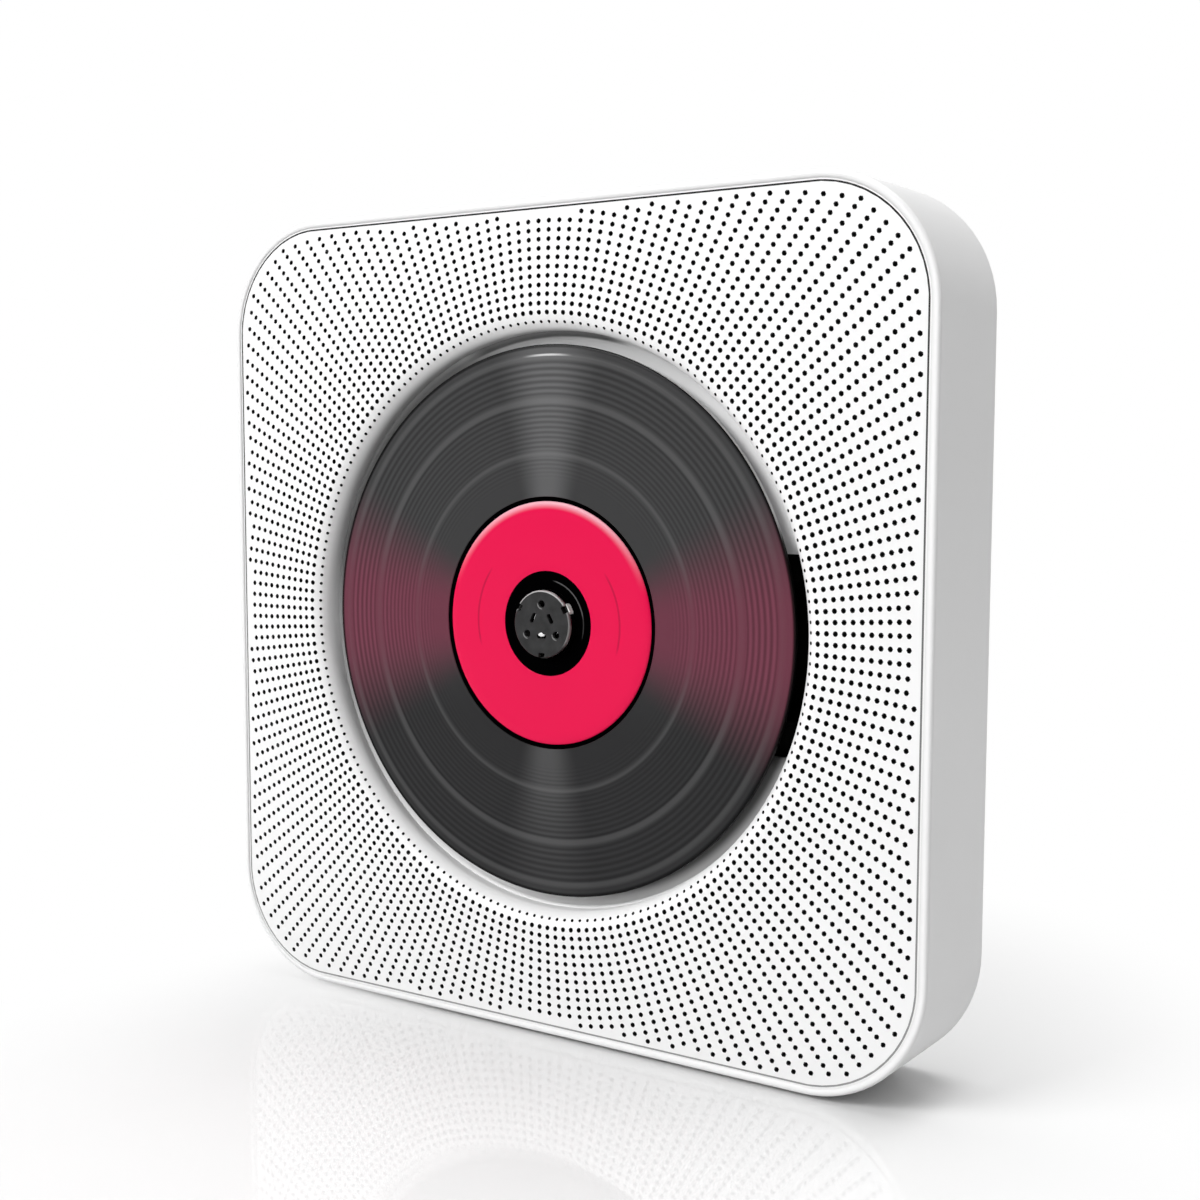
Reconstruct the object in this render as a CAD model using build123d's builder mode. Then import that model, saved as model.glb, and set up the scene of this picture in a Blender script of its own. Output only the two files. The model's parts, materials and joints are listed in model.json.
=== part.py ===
from build123d import *
from math import asin, atan2, cos, degrees, pi, radians, sin, sqrt
import os

os.makedirs("parts", exist_ok=True)

# Wall mounted CD player, in millimetres. X runs to the right seen from the front, Y runs from the
# front to the back, Z is up. x = 0 is the disc axis, y = 0 is mid depth and z = 0 is under the feet.

# ---- driving dimensions: case -------------------------------------------------------------------
CASE_W = 180.8            # outside width and height of the square case
CASE_D = 29.4             # depth of the side wall
CASE_R = 26.1             # outside corner radius
WALL = 2.8                # side wall
RIM = 1.75                # white border seen round the front panel
PANEL_GAP = 0.3           # open joint between border and panel
PANEL_T = 1.8             # front panel plate
COVER_T = 2.2             # rear cover plate
COVER_BACK = 29.2         # depth of the rear cover's outer face
FOOT_PROUD = 0.8
BUMPER_PROUD = 0.6
KEY_PROUD = 0.9

# ---- driving dimensions: disc well and disc (radii, and depths behind the front face) -----------
LIP_START_R = 67.3        # where the flat panel begins to roll over into the well
LIP_R = 4.4               # radius of that roll
WELL_R = LIP_START_R - LIP_R
COLLAR_END = 5.6          # the panel's collar meets the deck here
FLOOR = 7.0               # well floor
DECK_T = 1.6
DECK_R = 74.5
DISC_R = 60.0
DISC_HOLE_R = 7.5
DISC_FRONT = 3.1
DISC_T = 1.2
SLOT_TOP = 16.8           # pickup window in the floor, above and below the disc axis
SLOT_BOTTOM = -24.4
SLOT_END = 66.0

# ---- driving dimensions: mechanism --------------------------------------------------------------
CHASSIS_FRONT = 10.0
CHASSIS_T = 1.6
ROD_DEPTH = 14.4
MAIN_ROD = (-20.0, 1.5)   # height from the disc axis, radius
AUX_ROD = (14.0, 1.0)
RACK_PITCH_H = -28.0
RACK_MODULE = 0.8
WHEEL_MODULE = 0.4
SMALL_TEETH = 10
WHEEL_TEETH = 40
PINION_TEETH = 10
RACK_TEETH = 17
LENS_X = 23.0             # the lens at the start of a disc
SLED_TRAVEL = 35.0
GEAR_X = 44.0
MOTOR_BEARING = -135.0    # direction from the gear to the motor pinion
SPINDLE_MOTOR_R = 12.2
SHAFT_R = 1.0
RUNNING = 0.05            # radial clearance of a turning or sliding fit

# ---- driving dimensions: keys, sockets, speakers and fixings --------------------------------------
KEY_NAMES = ["mode_key", "previous_key", "play_key", "next_key", "stop_key"]
KEY_PITCH = 16.0
KEY_DEPTH = 15.0
KEY_W = 12.0
KEY_L = 5.0
KEY_TRAVEL = 0.6
BOARD_FRONT = 18.6
BOARD_T = 1.6
USB_H = -22.0
POWER_H = -8.0
AUX_H = 2.0
PHONES_H = 12.0
SWITCH_H = 23.0
JACK_BORE_R = 1.8
SPEAKER_X = 63.6
SPEAKER_R = 18.0
KEYHOLE_X = 45.0
KEYHOLE_H = 45.0
KEYHOLE_ENTRY_R = 4.0
KEYHOLE_NECK_R = 2.1
KEYHOLE_RISE = 8.0
CORNER_BOSS = 77.0
DECK_BOSS_R = 71.0
DAMPERS = [(-17.0, 21.0), (-17.0, -46.0), (66.0, 24.0), (62.0, -36.0)]

# ---- worked out from the driving dimensions -----------------------------------------------------
HALF = CASE_W / 2
FRONT_Y = -(CASE_D + BUMPER_PROUD) / 2
AXIS_Z = FOOT_PROUD + HALF
INNER = HALF - WALL
INNER_R = CASE_R - WALL
PANEL_HALF = HALF - RIM - PANEL_GAP
PANEL_R = CASE_R - RIM - PANEL_GAP
COVER_FRONT = COVER_BACK - COVER_T
CHASSIS_BACK = CHASSIS_FRONT + CHASSIS_T
BOARD_BACK = BOARD_FRONT + BOARD_T
DECK_BACK = FLOOR + DECK_T
DISC_BACK = DISC_FRONT + DISC_T
RACK_PITCH = pi * RACK_MODULE
SMALL_R = RACK_MODULE * SMALL_TEETH / 2
WHEEL_R = WHEEL_MODULE * WHEEL_TEETH / 2
PINION_R = WHEEL_MODULE * PINION_TEETH / 2
GEAR_H = RACK_PITCH_H - SMALL_R
PINION_X = GEAR_X + (WHEEL_R + PINION_R) * cos(radians(MOTOR_BEARING))
PINION_H = GEAR_H + (WHEEL_R + PINION_R) * sin(radians(MOTOR_BEARING))


def facing(depth):
    """A plane parallel to the front, at this depth. Local x is right, local y up, normal to the front."""
    return Plane(origin=(0, FRONT_Y + depth, AXIS_Z), x_dir=(1, 0, 0), z_dir=(0, -1, 0))


def side(x):
    """A plane across the case. Local x is depth, local y is height from the disc axis, normal +X."""
    return Plane(origin=(x, FRONT_Y, AXIS_Z), x_dir=(0, 1, 0), z_dir=(1, 0, 0))


def level(height, x=0.0):
    """A horizontal plane. Local x starts at the given x, local y is depth, normal +Z."""
    return Plane(origin=(x, FRONT_Y, AXIS_Z + height), x_dir=(1, 0, 0), z_dir=(0, 0, 1))


def front_axis(x=0.0, height=0.0):
    """An axis that runs from front to back."""
    return Axis((x, FRONT_Y, AXIS_Z + height), (0, 1, 0))


def polar(radius, angles):
    """Points on a circle round the disc axis, at these angles in degrees."""
    return [(radius * cos(radians(a)), radius * sin(radians(a))) for a in angles]


# ================================================================================================
# Case
# ================================================================================================

# The side wall and front border are one moulding. Its front edge is stepped for the panel, its back
# edge is rounded, and four corner bosses and a ledge carry the rear cover.
LEDGE = 2.0
BOSS_R = 3.2
BOSS_WEB = 1.013          # a boss runs on into the wall, to this share of its distance
IO_HALF_H = 31.5
IO_DEPTHS = (10.6, 19.8)
FOOT_X = 45.0
FOOT_L = 40.0
FOOT_W = 10.0
FOOT_SUNK = 0.8
KEY_XS = [KEY_PITCH * (i - 2) for i in range(5)]
POST_X = 46.0
KEY_BOARD_TOP = 81.0
KEY_POST_R = 2.6
KEY_GAP = 0.6             # all round a key's hole, in width and length
SCREW_PILOT_R = 1.0       # pilot for a 2.3 mm self-tapping screw
PILOT_L = 5.0
CORNER_PILOT_R = 1.25
CORNER_PILOT_L = 12.0
BOSS_FRONT = 8.0
COVER_RABBET = 0.5
COVER_LEDGE_T = 1.8
FRONT_FILLET = 0.8
BACK_FILLET = 2.0
CORNERS = [(sx * CORNER_BOSS, sz * CORNER_BOSS) for sx in (-1, 1) for sz in (-1, 1)]

with BuildPart() as housing_shell:
    with BuildSketch(facing(CASE_D)):
        RectangleRounded(CASE_W, CASE_W, CASE_R)
    extrude(amount=CASE_D)
    fillet(housing_shell.faces().sort_by(Axis.Y)[0].edges(), FRONT_FILLET)
    fillet(housing_shell.faces().sort_by(Axis.Y)[-1].edges(), BACK_FILLET)
    with BuildSketch(facing(PANEL_T)):
        RectangleRounded(2 * (HALF - RIM), 2 * (HALF - RIM), CASE_R - RIM)
    extrude(amount=PANEL_T, mode=Mode.SUBTRACT)
    with BuildSketch(facing(CASE_D)):
        RectangleRounded(2 * INNER, 2 * INNER, INNER_R)
    extrude(amount=CASE_D, mode=Mode.SUBTRACT)
    with BuildSketch(facing(COVER_FRONT)):
        RectangleRounded(2 * (INNER + COVER_RABBET), 2 * (INNER + COVER_RABBET), INNER_R + COVER_RABBET)
        RectangleRounded(2 * (INNER - LEDGE), 2 * (INNER - LEDGE), INNER_R - LEDGE, mode=Mode.SUBTRACT)
    extrude(amount=COVER_LEDGE_T)
    with BuildSketch(facing(COVER_FRONT)):
        for x, h in CORNERS:
            with Locations((x * BOSS_WEB, h * BOSS_WEB)):
                SlotCenterToCenter(2 * (BOSS_WEB - 1) * CORNER_BOSS * sqrt(2), 2 * BOSS_R,
                                   rotation=degrees(atan2(h, x)))
    extrude(amount=COVER_FRONT - BOSS_FRONT)
    with BuildSketch(facing(COVER_FRONT)):
        with Locations(*CORNERS):
            Circle(CORNER_PILOT_R)
    extrude(amount=CORNER_PILOT_L, mode=Mode.SUBTRACT)
    with BuildSketch(level(INNER - 0.5)):
        for x in KEY_XS:
            with Locations((x, KEY_DEPTH)):
                RectangleRounded(KEY_W + KEY_GAP, KEY_L + KEY_GAP, 1.3)
    extrude(amount=WALL + 1, mode=Mode.SUBTRACT)
    with BuildSketch(level(KEY_BOARD_TOP)):
        with Locations((-POST_X, KEY_DEPTH), (POST_X, KEY_DEPTH)):
            Circle(KEY_POST_R)
    extrude(amount=INNER + 0.5 - KEY_BOARD_TOP)
    with BuildSketch(level(KEY_BOARD_TOP)):
        with Locations((-POST_X, KEY_DEPTH), (POST_X, KEY_DEPTH)):
            Circle(SCREW_PILOT_R)
    extrude(amount=PILOT_L, mode=Mode.SUBTRACT)
    with BuildSketch(side(-HALF - 1)):
        with Locations(((IO_DEPTHS[0] + IO_DEPTHS[1]) / 2, 0)):
            RectangleRounded(IO_DEPTHS[1] - IO_DEPTHS[0], 2 * IO_HALF_H, 1.5)
    extrude(amount=WALL + 2, mode=Mode.SUBTRACT)
    with BuildSketch(level(-HALF)):
        with Locations((-FOOT_X, CASE_D / 2), (FOOT_X, CASE_D / 2)):
            SlotOverall(FOOT_L + 0.2, FOOT_W + 0.2)
    extrude(amount=FOOT_SUNK, mode=Mode.SUBTRACT)
housing_shell.part.label = "housing_shell"
export_step(housing_shell.part, "parts/housing_shell.step")

# The front panel is a flat plate that rolls over a generous lip into the disc well and ends in a
# short collar. Posts on its back carry the deck, and two ring seats and ears carry the speakers.
DECK_BOSSES = polar(DECK_BOSS_R, (60, 120, 240, 300))
SPEAKERS = [(-SPEAKER_X, -SPEAKER_X), (SPEAKER_X, -SPEAKER_X)]
EAR_OUT = 14.5
EARS = [(s * (SPEAKER_X + EAR_OUT), -SPEAKER_X + EAR_OUT) for s in (-1, 1)]
EARS += [(s * (SPEAKER_X - EAR_OUT), -SPEAKER_X - EAR_OUT) for s in (-1, 1)]
SEAT_DEPTH = 3.8
EAR_T = 0.8
EAR_R = 2.6
EAR_PILOT_R = 0.9
SEAT_R = (15.5, 17.5)     # inside and outside of the ring that the speaker frame sits on
DECK_BOSS_OUT_R = 3.0
DECK_PILOT_R = 1.1
DECK_PILOT_L = 4.0
LIP_T = PANEL_T
COLLAR_OUT_R = WELL_R + LIP_T

with BuildPart() as front_panel:
    with BuildSketch(facing(PANEL_T)):
        RectangleRounded(2 * PANEL_HALF, 2 * PANEL_HALF, PANEL_R)
        Circle(LIP_START_R, mode=Mode.SUBTRACT)
    extrude(amount=PANEL_T)
    with BuildSketch(level(0)):
        with BuildLine():
            RadiusArc((LIP_START_R, 0), (WELL_R, LIP_R), LIP_R)
            Polyline((WELL_R, LIP_R), (WELL_R, COLLAR_END), (COLLAR_OUT_R, COLLAR_END),
                     (COLLAR_OUT_R, LIP_R))
            RadiusArc((COLLAR_OUT_R, LIP_R), (LIP_START_R, LIP_T), -(LIP_R - LIP_T))
            Line((LIP_START_R, LIP_T), (LIP_START_R, 0))
        make_face()
    revolve(axis=front_axis(), revolution_arc=360)
    with BuildSketch(facing(FLOOR)):
        with Locations(*DECK_BOSSES):
            Circle(DECK_BOSS_OUT_R)
    extrude(amount=FLOOR - PANEL_T)
    with BuildSketch(facing(FLOOR)):
        with Locations(*DECK_BOSSES):
            Circle(DECK_PILOT_R)
    extrude(amount=DECK_PILOT_L, mode=Mode.SUBTRACT)
    with BuildSketch(facing(SEAT_DEPTH)):
        with Locations(*SPEAKERS):
            Circle(SEAT_R[1])
            Circle(SEAT_R[0], mode=Mode.SUBTRACT)
        with Locations(*EARS):
            Circle(EAR_R)
            Circle(EAR_PILOT_R, mode=Mode.SUBTRACT)
    extrude(amount=SEAT_DEPTH - PANEL_T)
front_panel.part.label = "front_panel"
export_step(front_panel.part, "parts/front_panel.step")

# The deck is the floor of the disc well: a round plate with a low wall that takes up the panel's
# collar, a hole for the turntable and a window for the pickup. Posts on its back hold the mechanism.
POST_END = 12.6
DECK_POST_R = 1.5
DAMPER_PILOT_R = 0.7
DECK_SCREW_HOLE_R = 1.4
TURNTABLE_HOLE_R = 16.5

with BuildPart() as disc_deck:
    with BuildSketch(level(0)):
        with BuildLine():
            Polyline((0, DECK_BACK), (DECK_R, DECK_BACK), (DECK_R, FLOOR), (COLLAR_OUT_R, FLOOR),
                     (COLLAR_OUT_R, COLLAR_END), (WELL_R - 0.2, COLLAR_END), (WELL_R - 0.6, FLOOR),
                     (0, FLOOR), close=True)
        make_face()
    revolve(axis=front_axis(), revolution_arc=360)
    with BuildSketch(facing(DECK_BACK)):
        Circle(TURNTABLE_HOLE_R)
        with Locations((SLOT_END / 2, (SLOT_TOP + SLOT_BOTTOM) / 2)):
            RectangleRounded(SLOT_END, SLOT_TOP - SLOT_BOTTOM, 1.0)
    extrude(amount=DECK_BACK - COLLAR_END + 0.5, mode=Mode.SUBTRACT)
    with BuildSketch(facing(DECK_BACK)):
        with Locations(*DECK_BOSSES):
            Circle(DECK_SCREW_HOLE_R)
    extrude(amount=DECK_T, mode=Mode.SUBTRACT)
    with BuildSketch(facing(POST_END)):
        with Locations(*DAMPERS):
            Circle(DECK_POST_R)
    extrude(amount=POST_END - DECK_BACK)
    with BuildSketch(facing(POST_END)):
        with Locations(*DAMPERS):
            Circle(DAMPER_PILOT_R)
    extrude(amount=POST_END - DECK_BACK, mode=Mode.SUBTRACT)
disc_deck.part.label = "disc_deck"
export_step(disc_deck.part, "parts/disc_deck.step")

# The rear cover is an inset plate with two keyholes for wall screws, vent slots, pockets for the
# rubber bumpers and four posts that carry the main board.
BUMPERS = [(sx * 70.0, sz * 62.0) for sx in (-1, 1) for sz in (-1, 1)]
BUMPER_R = 5.0
COVER_GAP = 0.15
COVER_SCREW_HOLE_R = 1.7
COVER_SCREW_SINK_R = 3.1
COVER_SINK = 0.4
VENT_H = -60.0
VENT_PITCH = 5.0
VENT_L = 46.0
VENT_W = 2.0
BOARD_POST_R = 2.6
BOARD_X = (-84.0, -36.0)
BOARD_HALF_H = 30.0
BOARD_POSTS = [(x, h) for x in (-68.0, -40.0) for h in (-26.5, 26.5)]

with BuildPart() as rear_cover:
    with BuildSketch(facing(COVER_BACK)):
        RectangleRounded(2 * (INNER - COVER_GAP), 2 * (INNER - COVER_GAP), INNER_R - COVER_GAP)
    extrude(amount=COVER_T)
    with BuildSketch(facing(COVER_BACK)):
        with Locations(*CORNERS):
            Circle(COVER_SCREW_HOLE_R)
        with Locations((-KEYHOLE_X, KEYHOLE_H), (KEYHOLE_X, KEYHOLE_H)):
            Circle(KEYHOLE_ENTRY_R)
        with Locations(*[(x, KEYHOLE_H + KEYHOLE_RISE / 2) for x in (-KEYHOLE_X, KEYHOLE_X)]):
            SlotCenterToCenter(KEYHOLE_RISE, 2 * KEYHOLE_NECK_R, rotation=90)
        with Locations((0, VENT_H)):
            with GridLocations(0, VENT_PITCH, 1, 5):
                SlotOverall(VENT_L, VENT_W)
    extrude(amount=COVER_T, mode=Mode.SUBTRACT)
    with BuildSketch(facing(COVER_BACK)):
        with Locations(*CORNERS):
            Circle(COVER_SCREW_SINK_R)
        with Locations(*BUMPERS):
            Circle(BUMPER_R + 0.1)
    extrude(amount=COVER_SINK, mode=Mode.SUBTRACT)
    with BuildSketch(facing(COVER_FRONT)):
        with Locations(*BOARD_POSTS):
            Circle(BOARD_POST_R)
    extrude(amount=COVER_FRONT - BOARD_BACK)
    with BuildSketch(facing(BOARD_BACK + PILOT_L)):
        with Locations(*BOARD_POSTS):
            Circle(SCREW_PILOT_R)
    extrude(amount=PILOT_L, mode=Mode.SUBTRACT)
rear_cover.part.label = "rear_cover"
export_step(rear_cover.part, "parts/rear_cover.step")

# A steel hanger plate behind each keyhole takes the load of the wall screw.
for name, s in (("hanger_left", -1), ("hanger_right", 1)):
    with BuildPart() as hanger:
        with BuildSketch(facing(COVER_FRONT)):
            with Locations((s * KEYHOLE_X, KEYHOLE_H + 3)):
                RectangleRounded(18.0, 24.0, 2.0)
            with Locations((s * KEYHOLE_X, KEYHOLE_H)):
                Circle(KEYHOLE_ENTRY_R, mode=Mode.SUBTRACT)
            with Locations((s * KEYHOLE_X, KEYHOLE_H + KEYHOLE_RISE / 2)):
                SlotCenterToCenter(KEYHOLE_RISE, 2 * KEYHOLE_NECK_R, rotation=90, mode=Mode.SUBTRACT)
        extrude(amount=1.0)
    hanger.part.label = name
    export_step(hanger.part, "parts/" + name + ".step")

# Two rubber feet let the player stand on a shelf.
for name, x in (("foot_left", -FOOT_X), ("foot_right", FOOT_X)):
    with BuildPart() as foot:
        with BuildSketch(level(-HALF - FOOT_PROUD)):
            with Locations((x, CASE_D / 2)):
                SlotOverall(FOOT_L, FOOT_W)
        extrude(amount=FOOT_PROUD + FOOT_SUNK)
    foot.part.label = name
    export_step(foot.part, "parts/" + name + ".step")

# Four rubber bumpers keep the back off the wall.
with BuildPart() as wall_bumpers:
    with BuildSketch(facing(CASE_D + BUMPER_PROUD)):
        with Locations(*BUMPERS):
            Circle(BUMPER_R)
    extrude(amount=CASE_D + BUMPER_PROUD - COVER_BACK + 0.4)
wall_bumpers.part.label = "wall_bumpers"
export_step(wall_bumpers.part, "parts/wall_bumpers.step")

# ================================================================================================
# Disc drive
# ================================================================================================

# The chassis is a black moulded frame behind the deck. It carries both motors, the rods and the
# gear, and hangs on four rubber dampers.
OUTLINE = [(-23, 30), (73, 30), (73, -34), (62, -44), (46, -54), (-23, -54)]
CHASSIS_RIM = 1.2
RACK_GATE_X = 73.0        # the rack runs out through a gate in the rim at full travel
RACK_GATE_H = (-31.0, -22.8)
CRADLE = 3.5
CRADLES = [(3.0, MAIN_ROD), (68.2, MAIN_ROD), (8.0, AUX_ROD), (68.2, AUX_ROD)]
CRADLE_BACK = 17.0
SLED_X = (13.5, 32.5)
SLED_H = (-16.5, 10.5)
GEAR_POST_R = 1.2
WHEEL_BACK = 16.6
MOTOR_SCREWS = [(-8.0, 0.0), (8.0, 0.0)]
BRACKET_POSTS = [(PINION_X - 13.0, PINION_H + 3.0), (PINION_X + 12.0, PINION_H - 7.0)]
BRACKET_FRONT = 17.2

with BuildPart() as mech_chassis:
    with BuildSketch(facing(CHASSIS_BACK)):
        with BuildLine():
            FilletPolyline(*OUTLINE, radius=3.0, close=True)
        make_face()
    extrude(amount=CHASSIS_T)
    with BuildSketch(facing(14.0)):
        with BuildLine():
            FilletPolyline(*OUTLINE, radius=3.0, close=True)
        make_face()
        offset(amount=-CHASSIS_RIM, mode=Mode.SUBTRACT)
        with Locations((RACK_GATE_X, (RACK_GATE_H[0] + RACK_GATE_H[1]) / 2)):
            Rectangle(2 * CHASSIS_RIM + 1.0, RACK_GATE_H[1] - RACK_GATE_H[0], mode=Mode.SUBTRACT)
    extrude(amount=14.0 - CHASSIS_BACK)
    for x, rod in CRADLES:
        with BuildSketch(side(x)):
            with Locations(((CHASSIS_BACK + CRADLE_BACK) / 2, rod[0])):
                Rectangle(CRADLE_BACK - CHASSIS_BACK, 6.0)
            with Locations((ROD_DEPTH, rod[0])):
                Circle(rod[1], mode=Mode.SUBTRACT)
        extrude(amount=CRADLE)
    with BuildSketch(facing(CHASSIS_BACK)):
        Circle(5.5)
        with Locations(*DAMPERS):
            Circle(3.0)
        with Locations(*MOTOR_SCREWS):
            Circle(1.1)
        with Locations(((SLED_X[0] + SLED_X[1] + SLED_TRAVEL) / 2, (SLED_H[0] + SLED_H[1]) / 2)):
            RectangleRounded(SLED_X[1] - SLED_X[0] + SLED_TRAVEL + 1.0, SLED_H[1] - SLED_H[0] + 2.0, 1.0)
    extrude(amount=CHASSIS_T, mode=Mode.SUBTRACT)
    with BuildSketch(facing(17.1)):
        with Locations((GEAR_X, GEAR_H)):
            Circle(GEAR_POST_R)
    extrude(amount=17.1 - CHASSIS_BACK)
    with BuildSketch(facing(12.3)):
        with Locations((GEAR_X, GEAR_H)):
            Circle(2.4)
    extrude(amount=12.3 - CHASSIS_BACK)
    with BuildSketch(facing(BRACKET_FRONT)):
        with Locations(*BRACKET_POSTS):
            Circle(2.2)
            Circle(1.0, mode=Mode.SUBTRACT)
    extrude(amount=BRACKET_FRONT - CHASSIS_BACK)
mech_chassis.part.label = "mech_chassis"
export_step(mech_chassis.part, "parts/mech_chassis.step")

# Rubber dampers: a grommet with a waist that the chassis plate sits in.
with BuildPart() as dampers:
    for front, back, radius in ((8.8, CHASSIS_FRONT, 4.2), (CHASSIS_FRONT, CHASSIS_BACK, 2.95),
                                (CHASSIS_BACK, POST_END, 4.2)):
        with BuildSketch(facing(back)):
            with Locations(*DAMPERS):
                Circle(radius)
                Circle(1.55, mode=Mode.SUBTRACT)
        extrude(amount=back - front)
dampers.part.label = "dampers"
export_step(dampers.part, "parts/dampers.step")

# The spindle motor is a flat can with a bearing boss, screwed to the back of the chassis.
with BuildPart() as spindle_motor:
    with BuildSketch(level(0)):
        with BuildLine():
            Polyline((SHAFT_R + RUNNING, CHASSIS_FRONT + 0.4), (4.0, CHASSIS_FRONT + 0.4),
                     (4.0, CHASSIS_BACK), (SPINDLE_MOTOR_R, CHASSIS_BACK), (SPINDLE_MOTOR_R, 20.6),
                     (SPINDLE_MOTOR_R - 1.0, 21.6), (SHAFT_R + RUNNING, 21.6), close=True)
        make_face()
    revolve(axis=front_axis(), revolution_arc=360)
spindle_motor.part.label = "spindle_motor"
export_step(spindle_motor.part, "parts/spindle_motor.step")

with BuildPart() as spindle_shaft:
    with BuildSketch(facing(22.4)):
        Circle(SHAFT_R)
    extrude(amount=22.4 - 2.4)
spindle_shaft.part.label = "spindle_shaft"
export_step(spindle_shaft.part, "parts/spindle_shaft.step")

# The turntable carries the disc on a rubber ring and centres it on a hub with three sprung claws.
HUB_R = 7.4
HUB_TOP = 1.7
CAP_FRONT = 0.9
CAP_R = HUB_R - 0.05
CAP_HOLE_R = 0.85
CAP_HOLE_AT = 4.4
CAP_WINDOW_AT = 2.6
CAP_NOTCH = (2.2, 1.6)
CAP_WINDOW = (2.4, 1.0)
CAP_FILLET = 0.35
POCKET_R = (2.4, 4.5)
PLATTER_FRONT = 4.9
PLATTER_BACK = 6.4
PLATTER_R = 14.5
CLAW_ANGLES = (30, 150, 270)
CLAW_W = 2.6
CLAW_FRONT = 1.8
CLAW_BACK = 3.1
CLAW_IN_R = 4.6
CLAW_TRAVEL = 0.6

with BuildPart() as turntable:
    with BuildSketch(level(0)):
        with BuildLine():
            Polyline((SHAFT_R, HUB_TOP), (HUB_R - 0.3, HUB_TOP), (HUB_R, HUB_TOP + 0.3),
                     (HUB_R, PLATTER_FRONT - 0.3), (10.0, PLATTER_FRONT), (PLATTER_R, PLATTER_FRONT),
                     (PLATTER_R, PLATTER_BACK), (5.0, PLATTER_BACK), (4.0, 9.6), (SHAFT_R, 9.6), close=True)
        make_face()
    revolve(axis=front_axis(), revolution_arc=360)
    with BuildSketch(facing(CLAW_BACK + 0.1)):
        Circle(POCKET_R[1])
        Circle(POCKET_R[0], mode=Mode.SUBTRACT)
        with PolarLocations((HUB_R + 2.6) / 2, 3, start_angle=CLAW_ANGLES[0]):
            Rectangle(HUB_R - 1.6, CLAW_W + 0.2)
    extrude(amount=CLAW_BACK + 0.1 - HUB_TOP, mode=Mode.SUBTRACT)
turntable.part.label = "turntable"
export_step(turntable.part, "parts/turntable.step")

# The cap closes the hub over the claws. It has a notch over each claw, three windows and three holes.
with BuildPart() as hub_cap:
    with BuildSketch(facing(HUB_TOP)):
        Circle(CAP_R)
        with PolarLocations(CAP_R, 3, start_angle=CLAW_ANGLES[0]):
            Rectangle(*CAP_NOTCH, mode=Mode.SUBTRACT)
        with PolarLocations(CAP_WINDOW_AT, 3, start_angle=CLAW_ANGLES[0]):
            SlotOverall(*CAP_WINDOW, rotation=90, mode=Mode.SUBTRACT)
        with PolarLocations(CAP_HOLE_AT, 3, start_angle=CLAW_ANGLES[0] + 60):
            Circle(CAP_HOLE_R, mode=Mode.SUBTRACT)
    extrude(amount=HUB_TOP - CAP_FRONT)
    fillet(hub_cap.faces().sort_by(Axis.Y)[0].outer_wire().edges().filter_by(GeomType.CIRCLE), CAP_FILLET)
hub_cap.part.label = "hub_cap"
export_step(hub_cap.part, "parts/hub_cap.step")

FRICTION_R = (10.4, 14.2)
with BuildPart() as friction_ring:
    with BuildSketch(facing(PLATTER_FRONT)):
        Circle(FRICTION_R[1])
        Circle(FRICTION_R[0], mode=Mode.SUBTRACT)
    extrude(amount=PLATTER_FRONT - DISC_BACK)
friction_ring.part.label = "friction_ring"
export_step(friction_ring.part, "parts/friction_ring.step")

# A wire ring on the floor of the hub's pocket presses the three claws outwards.
SPRING_R = 3.4
SPRING_WIRE_R = 0.35
with BuildPart() as claw_spring:
    with BuildSketch(level(0)):
        with Locations((SPRING_R, CLAW_BACK + 0.1 - SPRING_WIRE_R)):
            Circle(SPRING_WIRE_R)
    revolve(axis=front_axis(), revolution_arc=360)
claw_spring.part.label = "claw_spring"
export_step(claw_spring.part, "parts/claw_spring.step")

# Each claw is a small wedge that clicks over the edge of the disc's hole.
for i, angle in enumerate(CLAW_ANGLES, start=1):
    with BuildPart() as claw:
        with BuildSketch(facing(CLAW_BACK)):
            with Locations(Location((0, 0, 0), (0, 0, angle))):
                Polygon((CLAW_IN_R, -CLAW_W / 2), (HUB_R - 0.3, -CLAW_W / 2),
                        (HUB_R + 0.05, -CLAW_W / 2 + 0.5), (HUB_R + 0.05, CLAW_W / 2 - 0.5),
                        (HUB_R - 0.3, CLAW_W / 2), (CLAW_IN_R, CLAW_W / 2), align=None)
        extrude(amount=CLAW_BACK - CLAW_FRONT)
    claw.part.label = "hub_claw_" + str(i)
    export_step(claw.part, "parts/hub_claw_" + str(i) + ".step")

# The disc: 120 mm across and 1.2 mm thick with a 15 mm hole, and a stacking ring on its back.
with BuildPart() as cd_disc:
    with BuildSketch(level(0)):
        with BuildLine():
            Polyline((DISC_HOLE_R, DISC_FRONT), (DISC_R - 0.2, DISC_FRONT), (DISC_R, DISC_FRONT + 0.2),
                     (DISC_R, DISC_BACK - 0.2), (DISC_R - 0.2, DISC_BACK), (18.0, DISC_BACK),
                     (17.75, DISC_BACK + 0.2), (17.25, DISC_BACK + 0.2), (17.0, DISC_BACK),
                     (DISC_HOLE_R, DISC_BACK), close=True)
        make_face()
    revolve(axis=front_axis(), revolution_arc=360)
cd_disc.part.label = "cd_disc"
export_step(cd_disc.part, "parts/cd_disc.step")

# Two ground steel rods guide the pickup along the disc's radius.
for name, x, rod in (("guide_rod_main", 3.0, MAIN_ROD), ("guide_rod_aux", 8.0, AUX_ROD)):
    with BuildPart() as guide_rod:
        with BuildSketch(side(x)):
            with Locations((ROD_DEPTH, rod[0])):
                Circle(rod[1])
        extrude(amount=68.2 + CRADLE - x)
    guide_rod.part.label = name
    export_step(guide_rod.part, "parts/" + name + ".step")

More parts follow.
